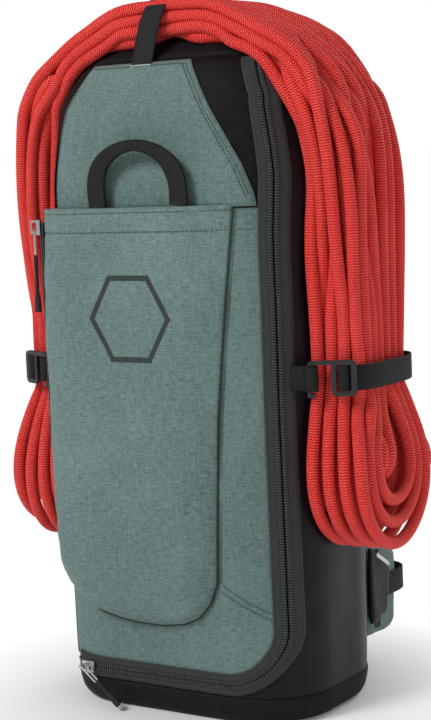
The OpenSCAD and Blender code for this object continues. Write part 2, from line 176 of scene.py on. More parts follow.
def sheet_mesh(name, outer, inner):
    """A closed thin shell from two n by m grids of points, outer seen from outside."""
    n, m = outer.shape[:2]
    nm = n * m
    idx = np.arange(nm).reshape(n, m)
    ring = np.concatenate([idx[0, :], idx[1:, -1], idx[-1, -2::-1], idx[-2:0:-1, 0]])
    nxt = np.roll(ring, -1)
    faces = np.concatenate([
        grid_faces(n, m), grid_faces(n, m, nm, flip=True),
        np.stack([nxt, ring, ring + nm, nxt + nm], -1)])
    du = np.linalg.norm(np.diff(outer, axis=1), axis=2)
    dv = np.linalg.norm(np.diff(outer, axis=0), axis=2)
    uu = np.concatenate([np.zeros((n, 1)), np.cumsum(du, 1)], 1)
    vv = np.concatenate([np.zeros((1, m)), np.cumsum(dv, 0)], 0)
    uv = np.stack([uu, vv], -1)
    flat = np.concatenate([uv.reshape(-1, 2)] * 2)
    obj = make_mesh(name, np.concatenate([outer.reshape(-1, 3), inner.reshape(-1, 3)]), faces, flat[faces])
    outward(obj)
    return obj


def outward(obj):
    """Turns a closed mesh the right way out."""
    v = np.empty(len(obj.data.vertices) * 3)
    obj.data.vertices.foreach_get("co", v)
    v = v.reshape(-1, 3)
    obj.data.calc_loop_triangles()
    t = np.empty(len(obj.data.loop_triangles) * 3, np.int32)
    obj.data.loop_triangles.foreach_get("vertices", t)
    a, b, c = (v[t.reshape(-1, 3)[:, k]] for k in range(3))
    if np.einsum("ij,ij->i", a, np.cross(b, c)).sum() < 0:
        obj.data.flip_normals()


def resample(points, step):
    """The same line with points evenly spaced, step apart."""
    p = np.asarray(points, float)
    s = np.concatenate([[0], np.cumsum(np.linalg.norm(np.diff(p, axis=0), axis=1))])
    t = np.linspace(0, s[-1], max(2, int(round(s[-1] / step)) + 1))
    return np.stack([np.interp(t, s, p[:, k]) for k in range(3)], -1)


def smooth_line(points, step):
    """Catmull-Rom through the points, resampled evenly."""
    p = np.asarray(points, float)
    q = np.concatenate([[2 * p[0] - p[1]], p, [2 * p[-1] - p[-2]]])
    t = np.linspace(0, 1, 12, endpoint=False)[:, None]
    out = []
    for i in range(1, len(q) - 2):
        a, b, c, d = q[i - 1], q[i], q[i + 1], q[i + 2]
        out.append(0.5 * (2 * b + (c - a) * t + (2 * a - 5 * b + 4 * c - d) * t ** 2
                          + (3 * b - a - 3 * c + d) * t ** 3))
    return resample(np.concatenate(out + [p[-1:]]), step)


def tube_mesh(name, line, radius, sides):
    """A capped tube along a line of points; UV is (turn 0 to 1, length in mm)."""
    p = np.asarray(line, float)
    n = len(p)
    tangent = np.gradient(p, axis=0)
    tangent /= np.linalg.norm(tangent, axis=1)[:, None]
    side = np.cross(tangent[0], [0.31, 0.2, 0.93])
    sides_at = np.empty((n, 3))
    for i in range(n):
        side = side - tangent[i] * side.dot(tangent[i])
        side /= np.linalg.norm(side)
        sides_at[i] = side
    other = np.cross(tangent, sides_at)
    a = np.linspace(0, 2 * np.pi, sides, endpoint=False)[None, :, None]
    rings = p[:, None] + radius * (np.cos(a) * sides_at[:, None] + np.sin(a) * other[:, None])
    faces = grid_faces(n, sides, wrap=True)
    s = np.concatenate([[0], np.cumsum(np.linalg.norm(np.diff(p, axis=0), axis=1))])
    i, j = np.divmod(np.arange(len(faces)), sides)
    uv = np.stack([np.stack([(j + dj) / sides, s[i + di]], -1)
                   for di, dj in ((0, 0), (0, 1), (1, 1), (1, 0))], 1)
    verts = np.concatenate([rings.reshape(-1, 3), p[:1], p[-1:]])
    k = np.arange(sides)
    caps = np.concatenate([
        np.stack([np.full(sides, n * sides), (k + 1) % sides, k], -1),
        np.stack([np.full(sides, n * sides + 1), (n - 1) * sides + k, (n - 1) * sides + (k + 1) % sides], -1)])
    obj = make_mesh(name, verts, faces, uv)
    add_triangles(obj, caps)
    outward(obj)
    return obj


def add_triangles(obj, tris):
    """Adds triangles between points that the mesh already has."""
    bm = bmesh.new()
    bm.from_mesh(obj.data)
    bm.verts.ensure_lookup_table()
    for t in tris:
        f = bm.faces.new([bm.verts[int(i)] for i in t])
        f.smooth = True
    bm.to_mesh(obj.data)
    bm.free()


# %% [markdown]
# ## The bag's tube
# The bag is a tube with a rounded-rectangle plan that swells a little at mid height and closes in at
# the crown. One function turns (place round the bag, height, distance off the surface) into a point,
# so panels, seams, zips and stitches all share one shape. Place is measured in mm along the mid-height
# outline from the middle of the front, positive towards +X.

# %% The bag's tube
STATIONS = np.array([
    (0, 230, 150, 57), (12, 238, 158, 60), (36, 240, 160, 60), (250, 244, 164, 62), (430, 242, 162, 62),
    (490, 228, 150, 60), (522, 190, 120, 50), (540, 120, 66, 30)], float)
FRONT, SIDE, ARC = 59.0, 38.0, 97.39


def station(z):
    """Width, depth and corner radius at a height, with the stations' corners rounded off."""
    z = np.asarray(z, float)
    out = 0
    for dz, wt in ((-8, 0.2), (-4, 0.2), (0, 0.2), (4, 0.2), (8, 0.2)):
        zz = np.clip(z + dz * np.clip(np.minimum(z, 540 - z) / 10, 0, 1), 0, 540)
        out = out + wt * np.stack([np.interp(zz, STATIONS[:, 0], STATIONS[:, k]) for k in (1, 2, 3)])
    return out


def outline(u, z):
    """Plan point and plan normal of the tube at place u and height z."""
    u, z = np.broadcast_arrays(np.asarray(u, float), np.asarray(z, float))
    w, d, r = station(z)
    s, a = np.sign(u) + (u == 0), np.abs(u)
    cx, cy = w / 2 - r, d / 2 - r
    k1 = np.clip((a - FRONT) / ARC, 0, 1) * np.pi / 2
    k2 = np.clip((a - FRONT - ARC - SIDE) / ARC, 0, 1) * np.pi / 2
    back = np.clip((a - FRONT - 2 * ARC - SIDE) / FRONT, 0, 1)
    up_side = np.clip((a - FRONT - ARC) / SIDE, 0, 1)
    nx = np.sin(k1) * np.cos(k2)
    ny = np.where(k2 > 0, np.sin(k2), -np.cos(k1))
    x = np.clip(a / FRONT, 0, 1) * cx * (1 - back) + r * nx
    y = -cy + 2 * cy * up_side + r * ny
    return np.stack([s * x, y, z], -1), np.stack([s * nx, ny], -1)


def tube(u, z, off=0.0):
    """A point off mm outside the bag."""
    u, z, off = np.broadcast_arrays(*(np.asarray(v, float) for v in (u, z, off)))
    p, n = outline(u, z)
    hi, _ = outline(u, np.minimum(z + 2, 540))
    lo, _ = outline(u, np.maximum(z - 2, 0))
    slope = ((hi - lo)[..., :2] * n).sum(-1) / np.maximum((hi - lo)[..., 2], 1e-6)
    n3 = np.concatenate([n, -slope[..., None]], -1)
    n3 /= np.linalg.norm(n3, axis=-1)[..., None]
    return p + n3 * off[..., None]


def place_of(x, z):
    """Place round the bag of a point on its front half, given by X as seen from the front."""
    x, z = np.broadcast_arrays(np.asarray(x, float), np.asarray(z, float))
    w, d, r = station(z)
    flat = np.maximum(w / 2 - r, 1e-6)
    a = np.abs(x)
    k = np.arcsin(np.clip((a - flat) / r, 0, 1)) / (np.pi / 2)
    return np.sign(x) * np.where(a < flat, a / flat * FRONT, FRONT + k * ARC)


def waves(shape_u, shape_z, size, seed):
    """Smooth seeded unevenness about 1 high over the grid of places u and heights z."""
    r = np.random.default_rng(seed)
    out = np.zeros(np.broadcast(shape_u, shape_z).shape)
    for o in range(3):
        k = 2 ** o / size
        for _ in range(4):
            ang, ph = r.uniform(0, 2 * np.pi, 2)
            out += np.sin((shape_u * np.cos(ang) + shape_z * np.sin(ang)) * 2 * np.pi * k + ph) / 2 ** o / 4
    return out

# %% [markdown]
# ## Materials
# Cloth is read close up as threads and from afar as a slightly mottled colour, so each cloth has both.
# The threads, streaks and scuffs are shader groups that give masks and heights only; each material
# holds its own Principled BSDF. Cloth threads use the UV map, which is in millimetres along the cloth;
# mottling and dust use Object coordinates.


# %% Node helpers
def srgb(r, g, b):
    """A colour given as seen, 0 to 255, as a linear colour."""
    return tuple((c / 255 / 12.92) if c <= 10 else ((c / 255 + 0.055) / 1.055) ** 2.4 for c in (r, g, b)) + (1,)


class Nodes:
    """Short names for building a node tree."""

    def __init__(self, tree):
        self.tree = tree

    def add(self, kind, inputs=None, **props):
        n = self.tree.nodes.new(kind)
        for k, v in props.items():
            setattr(n, k, v)
        for k, v in (inputs or {}).items():
            self.set(n.inputs[k], v)
        return n

    def set(self, socket, v):
        if isinstance(v, bpy.types.NodeSocket):
            self.tree.links.new(v, socket)
        else:
            socket.default_value = v

    def math(self, op, a, b=0.0, c=0.0):
        n = self.add("ShaderNodeMath", {0: a, 1: b, 2: c}, operation=op)
        return n.outputs[0]

    def mix(self, fac, a, b):
        n = self.add("ShaderNodeMix", {0: fac, 6: a, 7: b}, data_type="RGBA")
        return n.outputs[2]

    def ramp(self, v, lo, hi):
        n = self.add("ShaderNodeMapRange", {0: v, 1: lo, 2: hi}, interpolation_type="SMOOTHSTEP")
        return n.outputs[0]

    def noise(self, vector, scale, detail=2.0, rough=0.5):
        n = self.add("ShaderNodeTexNoise", {"Vector": vector, "Scale": scale, "Detail": detail, "Roughness": rough})
        return n.outputs[0]


def group(name, ins, outs, build):
    """A shader node group from a builder that is given its nodes and inputs."""
    tree = bpy.data.node_groups.new(name, "ShaderNodeTree")
    for n, kind in ins:
        tree.interface.new_socket(n, in_out="INPUT", socket_type=kind)
    for n in outs:
        tree.interface.new_socket(n, in_out="OUTPUT", socket_type="NodeSocketFloat")
    g = Nodes(tree)
    gi, go = g.add("NodeGroupInput"), g.add("NodeGroupOutput")
    for n, v in build(g, gi.outputs).items():
        g.set(go.inputs[n], v)
    return tree


F, V = "NodeSocketFloat", "NodeSocketVector"


def build_weave(g, i):
    """Plain weave: over and under threads, and streaks of lighter yarn along both ways."""
    s = g.add("ShaderNodeSeparateXYZ", {0: i["UV"]})
    u, v = g.math("DIVIDE", s.outputs[0], i["Pitch"]), g.math("DIVIDE", s.outputs[1], i["Pitch"])
    a = g.math("ABSOLUTE", g.math("SINE", g.math("MULTIPLY", u, math.pi)))
    b = g.math("ABSOLUTE", g.math("SINE", g.math("MULTIPLY", v, math.pi)))
    parity = g.math("FLOORED_MODULO", g.math("ADD", g.math("FLOOR", u), g.math("FLOOR", v)), 2.0)
    height = g.add("ShaderNodeMix", {0: parity, 2: a, 3: b}).outputs[0]
    along_u = g.add("ShaderNodeCombineXYZ", {0: g.math("MULTIPLY", u, 0.15), 1: v})
    along_v = g.add("ShaderNodeCombineXYZ", {0: u, 1: g.math("MULTIPLY", v, 0.2), 2: 7.3})
    streak = g.math("ADD", g.math("MULTIPLY", g.noise(along_u.outputs[0], 0.8), 1.15),
                    g.math("MULTIPLY", g.noise(along_v.outputs[0], 0.9), 0.85))
    return {"Height": height, "Streak": g.math("MULTIPLY", streak, 0.5)}


def build_grid(g, i):
    """Raised threads in a square grid, as ripstop has."""
    s = g.add("ShaderNodeSeparateXYZ", {0: i["UV"]})
    out = None
    for k in (0, 1):
        f = g.math("FRACT", g.math("DIVIDE", s.outputs[k], i["Pitch"]))
        line = g.math("LESS_THAN", g.math("ABSOLUTE", g.math("SUBTRACT", f, 0.5)), g.math("DIVIDE", 0.16, i["Pitch"]))
        out = line if out is None else g.math("MAXIMUM", out, line)
    return {"Mask": out}


def build_rub(g, i):
    """Wear: low soft blotches and a few finer scuffs."""
    soft = g.ramp(g.noise(i["Place"], 9.0, 3.0, 0.6), 0.35, 0.75)
    fine = g.ramp(g.noise(i["Place"], 90.0, 4.0, 0.7), 0.55, 0.8)
    return {"Soft": soft, "Fine": fine}


weave_group = group("weave", [("UV", V), ("Pitch", F)], ["Height", "Streak"], build_weave)
grid_group = group("ripstop_grid", [("UV", V), ("Pitch", F)], ["Mask"], build_grid)
rub_group = group("rub", [("Place", V)], ["Soft", "Fine"], build_rub)


def material(name, build):
    """A material whose builder returns the Principled BSDF's inputs."""
    mat = bpy.data.materials.new(name)
    mat.use_nodes = True
    g = Nodes(mat.node_tree)
    bsdf = mat.node_tree.nodes["Principled BSDF"]
    place = g.add("ShaderNodeTexCoord").outputs["Object"]
    uv = g.add("ShaderNodeUVMap").outputs[0]
    for k, v in build(g, place, uv).items():
        g.set(bsdf.inputs[k], v)
    return mat


def use(g, tree, ins):
    """Outputs of a shader group put into a tree."""
    n = g.tree.nodes.new("ShaderNodeGroup")
    n.node_tree = tree
    for k, v in ins.items():
        g.set(n.inputs[k], v)
    return n.outputs


def bump(g, height, strength, distance):
    return g.add("ShaderNodeBump", {"Height": height, "Strength": strength, "Distance": distance}).outputs[0]


def cloth(name, dark, light, pitch=0.9, grid=0.0, rough=0.8, shine=0.3, streaks=0.6, sheen=0.1, emblem=False):
    """A woven cloth between two colours; grid is the ripstop's square, or none."""
    def build(g, place, uv):
        w = use(g, weave_group, {"UV": uv, "Pitch": pitch})
        r = use(g, rub_group, {"Place": place})
        tone = g.ramp(w["Streak"], 0.5 - 0.2 / streaks, 0.5 + 0.2 / streaks)
        tone = g.math("ADD", g.math("MULTIPLY", tone, 0.75), g.math("MULTIPLY", r["Soft"], 0.25))
        colour = g.mix(tone, srgb(*dark), srgb(*light))
        height = g.math("MULTIPLY", w["Height"], 0.6)
        if grid:
            mask = use(g, grid_group, {"UV": uv, "Pitch": grid})["Mask"]
            colour = g.mix(g.math("MULTIPLY", mask, 0.3), colour, srgb(*light))
            height = g.math("ADD", height, g.math("MULTIPLY", mask, 0.5))
        if emblem:
            s = g.add("ShaderNodeSeparateXYZ", {0: place})
            x = g.math("ABSOLUTE", g.math("ADD", s.outputs[0], 0.008))
            z = g.math("ABSOLUTE", g.math("SUBTRACT", s.outputs[2], 0.322))
            slant = g.math("ADD", g.math("MULTIPLY", x, 0.8660254), g.math("MULTIPLY", z, 0.5))
            d = g.math("MAXIMUM", z, slant)
            ring = g.math("LESS_THAN", g.math("ABSOLUTE", g.math("SUBTRACT", d, 0.0320)), 0.0022)
            out = g.math("LESS_THAN", s.outputs[1], -0.085)
            wear = g.math("SUBTRACT", 1.0, g.math("MULTIPLY", r["Fine"], 0.25))
            ink = g.math("MULTIPLY", g.math("MULTIPLY", ring, out), wear)
            colour = g.mix(g.math("MULTIPLY", ink, 0.92), colour, srgb(38, 40, 42))
        normal = bump(g, height, 0.35, 0.0004)
        return {"Base Color": colour, "Normal": normal, "Sheen Weight": sheen,
                "Roughness": g.math("ADD", rough, g.math("MULTIPLY", r["Soft"], 0.1)),
                "Specular IOR Level": shine}
    return material(name, build)


def build_rope_look(g, place, uv):
    """Braided sheath: zig-zag rows round the rope, with painted highlights as light flecks on the row crests and
    painted shade darkening the valleys between rows.
    """
    s = g.add("ShaderNodeSeparateXYZ", {0: uv})
    turn, along = g.math("MULTIPLY", s.outputs[0], 9.0), g.math("DIVIDE", s.outputs[1], 2.1)
    zig = g.math("PINGPONG", turn, 0.5)
    row = g.math("FRACT", g.math("ADD", along, g.math("MULTIPLY", zig, 1.1)))
    ridge = g.math("SINE", g.math("MULTIPLY", row, math.pi))
    cell = g.add("ShaderNodeCombineXYZ", {0: g.math("MULTIPLY", turn, 2.2), 1: g.math("MULTIPLY", along, 2.0)})
    highlight_speckle = g.noise(cell.outputs[0], 1.3, 2.0, 0.6)
    tone = g.noise(place, 14.0, 2.0, 0.5)
    r = use(g, rub_group, {"Place": place})
    red = g.mix(g.ramp(tone, 0.3, 0.7), srgb(246, 32, 40), srgb(255, 52, 52))
    # Painted highlight: light orange-pink flecks on the crests of the braid rows, where light falls.
    light = g.math("MULTIPLY", g.ramp(ridge, 0.8, 0.97), g.ramp(highlight_speckle, 0.38, 0.56))
    colour = g.mix(g.math("MULTIPLY", light, 0.55), red, srgb(255, 150, 120))
    # Painted shade: the grooves between braid rows are darkened towards deep red, as shade in the crevices.
    colour = g.mix(g.math("MULTIPLY", g.math("SUBTRACT", 1.0, g.ramp(ridge, 0.0, 0.58)), 0.88), colour,
                   srgb(96, 0, 12))
    colour = g.mix(g.math("MULTIPLY", r["Fine"], 0.12), colour, srgb(120, 40, 36))
    return {"Base Color": colour, "Roughness": 0.66, "Specular IOR Level": 0.3,
            "Normal": bump(g, ridge, 0.8, 0.0014)}


def build_webbing_look(dark, light, rib=1.5):
    """Woven strap: ribs across it every rib mm, with a fine weave on them."""
    def build(g, place, uv):
        s = g.add("ShaderNodeSeparateXYZ", {0: uv})
        a = g.math("ABSOLUTE", g.math("SINE", g.math("MULTIPLY", s.outputs[1], math.pi / rib)))
        w = use(g, weave_group, {"UV": uv, "Pitch": 0.8})
        r = use(g, rub_group, {"Place": place})
        height = g.math("ADD", g.math("MULTIPLY", a, 0.6), g.math("MULTIPLY", w["Height"], 0.5))
        tone = g.math("ADD", g.math("MULTIPLY", w["Streak"], 0.6), g.math("MULTIPLY", r["Soft"], 0.4))
        return {"Base Color": g.mix(tone, srgb(*dark), srgb(*light)), "Roughness": 0.72, "Specular IOR Level": 0.3,
                "Normal": bump(g, height, 0.4, 0.0005)}
    return build


def build_hard(dark, light, rough, metal=0.0):
    """Moulded plastic, metal, thread or print: a fine grain and a few rubbed spots."""
    def build(g, place, uv):
        r = use(g, rub_group, {"Place": place})
        n = g.noise(place, 400.0, 3.0, 0.6)
        return {"Base Color": g.mix(r["Fine"], srgb(*dark), srgb(*light)), "Metallic": metal,
                "Roughness": g.math("ADD", rough, g.math("MULTIPLY", r["Soft"], 0.15)),
                "Normal": bump(g, n, 0.12, 0.0003)}
    return build


def build_coated(g, place, uv):
    """Polyurethane-coated cloth: fine weave under a soft shine."""
    w = use(g, weave_group, {"UV": uv, "Pitch": 0.7})
    r = use(g, rub_group, {"Place": place})
    crease = g.noise(place, 42.0, 4.0, 0.55)
    tone = g.math("ADD", g.math("MULTIPLY", r["Soft"], 0.6), g.math("MULTIPLY", w["Streak"], 0.4))
    height = g.math("ADD", g.math("MULTIPLY", w["Height"], 0.12), g.math("MULTIPLY", crease, 1.4))
    return {"Base Color": g.mix(tone, srgb(12, 9, 12), srgb(24, 19, 23)), "Roughness": 0.42,
            "Specular IOR Level": 0.18, "Normal": bump(g, height, 0.3, 0.0012)}


M = {
    "ripstop": cloth("ripstop", (70, 90, 89), (114, 138, 134), pitch=0.8, grid=5.2, streaks=1.0),
    "pocket": cloth("pocket_cloth", (72, 93, 91), (118, 143, 139), pitch=0.8, grid=5.2, streaks=1.0,
                    emblem=True),
    "lining": cloth("lining", (96, 99, 100), (122, 124, 124), pitch=0.6, grid=4.0, rough=0.7),
    "matte_black": cloth("matte_black", (8, 7, 9), (22, 20, 23), pitch=0.7, rough=0.6, shine=0.14, sheen=0.0),
    "base": cloth("base_fabric", (8, 8, 9), (28, 27, 28), pitch=1.5, rough=0.6, shine=0.16, sheen=0.0),
    "mesh": cloth("spacer_mesh", (22, 23, 24), (60, 61, 63), pitch=2.6, rough=0.9, sheen=0.4),
    "zip_tape": cloth("zip_tape_cloth", (38, 41, 42), (60, 63, 63), pitch=0.6, rough=0.7, sheen=0.05),
    "coated": material("coated_black", build_coated),
    "rope": material("rope_sheath", build_rope_look),
    "webbing": material("webbing_black", build_webbing_look((10, 10, 11), (26, 26, 27))),
    "thread": material("thread", build_hard((52, 70, 67), (66, 86, 82), 0.7)),
    "thread_dark": material("thread_dark", build_hard((26, 28, 28), (44, 46, 46), 0.7)),
    "piping": material("piping", build_webbing_look((34, 42, 39), (52, 62, 58))),
    "teeth": material("zip_teeth", build_hard((56, 58, 58), (80, 82, 82), 0.36)),
    "moulded": material("moulded", build_hard((26, 28, 31), (44, 47, 50), 0.4)),
    "silver": material("silver", build_hard((196, 198, 200), (150, 152, 155), 0.24, 1.0)),
    "cord": material("pull_cord_look", build_webbing_look((20, 20, 21), (46, 46, 47), 1.2)),
    "label": material("label", build_hard((168, 172, 170), (196, 199, 197), 0.6)),
    "reflective": material("reflective", build_hard((214, 216, 216), (190, 192, 193), 0.35)),
}
print("materials:", len(M))


def dress(obj, key, body, slot, *nodes):
    """Gives a piece its material and body, and hides the CAD nodes it stands for; slot is not used."""
    obj.data.materials.clear()
    obj.data.materials.append(M[key])
    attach(obj, body)
    if nodes:
        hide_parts(*nodes)
    return obj


def recolour(keys):
    """Gives shown CAD nodes a better material, as the given table names it."""
    for name, key in keys.items():
        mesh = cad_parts[name].data
        mesh.materials.clear()
        mesh.materials.append(M[key])


hard_nodes = {
    "rope_strap_buckle": "moulded", "hook_right": "moulded", "hook_left": "moulded", "hip_buckle_socket": "moulded",
    "hip_buckle_plug": "moulded", "ladder_lock_right": "moulded", "ladder_lock_left": "moulded",
    "main_zip_slider": "silver", "main_pull_wire": "silver", "pocket_zip_slider": "silver",
    "pocket_pull_wire": "silver", "frame_sheet": "moulded", "main_pull_cord": "cord", "pocket_pull_cord": "cord",
    "size_tab": "label"}
recolour(hard_nodes)

# %% [markdown]
# ## The rope
# One length of 10 mm rope, coiled as a climber does: back and forth over the crown, with hanging
# loops on both sides. It could be drawn as a bundle of separate tubes, but a real coil is a single
# line, so the passes are planned first: thirty-one slots in four layers at the strap, the same
# thirty-one spread over three layers on the crown, and nested loops below that join them end to end.
# The line is then relaxed: strands push apart to a rope's width, stay off the bag, keep their length
# and refuse to bend tighter than rope does.

# %% Plan of the coil
ROPE_D, STRAP_Z = 10.0, 274.0
side_slots = [(layer, lane) for lane in range(8) for layer in range(4) if (layer, lane) != (3, 7)]
crown_slot = {s: (k % 3, k // 3) for k, s in enumerate(side_slots)}


def spiral(layer, inward):
    """Lane order in one layer of the coil, from its edges to its middle or back."""
    lanes = [lane for (la, lane) in side_slots if la == layer]
    order = []
    while lanes:
        order.append(lanes.pop())
        if lanes:
            order.append(lanes.pop(0))
    return order if inward else order[::-1]


sequence = ([(3, n) for n in spiral(3, True)] + [(2, n) for n in spiral(2, False)]
            + [(1, n) for n in spiral(1, True)] + [(0, n) for n in spiral(0, False)])
print("passes over the crown:", len(sequence))


def slot_place(slot):
    """Plan place of a slot at the strap, on the right side."""
    return 126.5 + 10.0 * slot[0], -41.0 + 4.0 * slot[0] + 10.1 * slot[1]


INNER = np.array([(126.5, 268), (127, 350), (126.5, 432), (119.5, 490), (100, 526), (64, 545), (30, 546),
                  (0, 546)], float)
OUTER = np.array([(156.5, 268), (159, 350), (160, 432), (154, 478), (131, 511), (98, 538), (52, 560),
                  (0, 566.5)], float)


def pass_points(slot, pass_no, side):
    """Half a pass: from the strap on one side up to the middle of the crown."""
    layer, lane = slot
    deck, row = crown_slot[slot]
    t = np.linspace(0, 7, 57)
    f_side, f_top = layer / 3, deck / 2
    mix = np.clip((t - 2) / 3.5, 0, 1)
    mix = mix * mix * (3 - 2 * mix)
    f = f_side * (1 - mix) + f_top * mix
    k = np.arange(8)
    inner = np.stack([np.interp(t, k, INNER[:, c]) for c in (0, 1)], -1)
    outer = np.stack([np.interp(t, k, OUTER[:, c]) for c in (0, 1)], -1)
    xz = inner * (1 - f[:, None]) + outer * f[:, None]
    y_side, y_top = slot_place(slot)[1], -44 + 9.1 * row
    r = np.random.default_rng(100 + 2 * pass_no + (side > 0))
    bow = np.sin(np.clip(t / 4.5, 0, 1) * np.pi)
    y = y_side * (1 - mix) + y_top * mix + r.uniform(-13, 10) * bow
    return np.stack([side * (xz[:, 0] + r.uniform(-6, 6) * bow), y, xz[:, 1]], -1)


def half_width(slot):
    """How far a loop's leg stands from the middle of the loops, low down: nested by lane."""
    return 19.0 + 12.4 * abs(slot[1] - 3.5)


def loop_points(a, b, side):
    """The hanging loop that joins the lower ends of two passes on one side."""
    mid_y = 6.0
    low = (210.0 if side > 0 else 199.0) - 2.2 * (abs(a[1] - 3.5) + abs(b[1] - 3.5))
    lead = -1 if a[1] < b[1] else 1
    legs = []
    for slot, sgn in ((a, lead), (b, -lead)):
        x0, y0 = slot_place(slot)
        x1 = 125.0 + 14.5 * slot[0]
        y1 = mid_y + sgn * half_width(slot)
        if a[1] == b[1]:
            x1 = 145.0 + (21 if slot[0] == max(a[0], b[0]) else -21)
            y1 = mid_y + np.sign(slot[1] - 3.5) * half_width(slot) * 0.85 + 4 * max(a[0], b[0]) - 8
        s = np.linspace(0, 1, 12)[:, None]
        e = s * s * (3 - 2 * s)
        z = STRAP_Z - 6 - (STRAP_Z - 6 - low) * s
        legs.append(np.concatenate([x0 + (x1 - x0) * e, y0 + (y1 - y0) * e, z], 1))
    p, q = legs[0][-1], legs[1][-1]
    ang = np.linspace(0, np.pi, 18)[1:-1, None]
    drop = 0.5 * np.hypot(q[0] - p[0], q[1] - p[1]) * 1.06 + 2
    w = (1 - np.cos(ang)) / 2
    arc = np.concatenate([p[0] + (q[0] - p[0]) * w, p[1] + (q[1] - p[1]) * w, low - drop * np.sin(ang)], 1)
    out = np.concatenate([legs[0], arc, legs[1][::-1]])
    out[:, 0] *= side
    return out


line = []
for n, slot in enumerate(sequence):
    left, rightward = pass_points(slot, n, -1), pass_points(slot, n, 1)
    whole = np.concatenate([left, rightward[-2::-1]])
    line.append(whole if n % 2 == 0 else whole[::-1])
    if n + 1 < len(sequence):
        line.append(loop_points(slot, sequence[n + 1], 1 if n % 2 == 0 else -1))
first = line[0][0]
tail_in = np.array([first + (6, 4, -26), first + (3, 2, -12)])
last = line[-1][-1]
tail_out = np.array([last + (2, 3, -14), last + (4, 6, -30)])
STEP = 8.0
rope = resample(np.concatenate([tail_in] + line + [tail_out]), STEP)
print("rope before relaxing: %.1f m, %d points" % (len(rope) * STEP / 1000, len(rope)))

# %% [markdown]
# The relaxing step is plain position-based dynamics. The pins are soft: each pass is drawn towards its
# slot under the strap and on the crown, where the webbing holds it.


# %% Relaxing the coil
ENVELOPE = np.array([(165, 300), (165, 440), (160, 480), (138, 513), (104, 541), (64, 562), (34, 571),
                     (0, 572.5)], float)


def push_off_bag(p, off):
    """Moves points that are nearer the bag than off out along the surface."""
    w, d, r = station(np.clip(p[:, 2], 0, 540))
    qx, qy = np.abs(p[:, 0]) - (w / 2 - r), np.abs(p[:, 1]) - (d / 2 - r)
    ox, oy = np.maximum(qx, 0), np.maximum(qy, 0)
    far = np.hypot(ox, oy)
    dist2 = np.where(far > 0, far, np.maximum(qx, qy)) - r
    corner = (far > 0)[:, None]
    n2 = np.where(corner, np.stack([ox, oy], -1) / np.maximum(far, 1e-6)[:, None],
                  np.stack([(qx >= qy) * 1.0, (qx < qy) * 1.0], -1))
    n2 *= np.sign(p[:, :2]) + (p[:, :2] == 0)
    w2 = station(np.clip(p[:, 2] + 3, 0, 540))[0]
    shrink = np.clip((w - w2) / 6, 0, 3)
    n3 = np.concatenate([n2, shrink[:, None]], -1)
    size = np.linalg.norm(n3, axis=1)
    depth = off - dist2 / size
    top = p[:, 2] - 540
    depth = np.where(p[:, 2] > 540, np.minimum(depth, off - top), depth)
    use = (depth > 0)[:, None]
    lift = np.zeros_like(p)
    lift[:, 2] = np.maximum(off - top, 0)
    above = ((p[:, 2] > 536) & (dist2 < 0))[:, None]
    return p + np.where(use, np.where(above, lift, n3 / size[:, None] * np.maximum(depth, 0)[:, None]), 0)


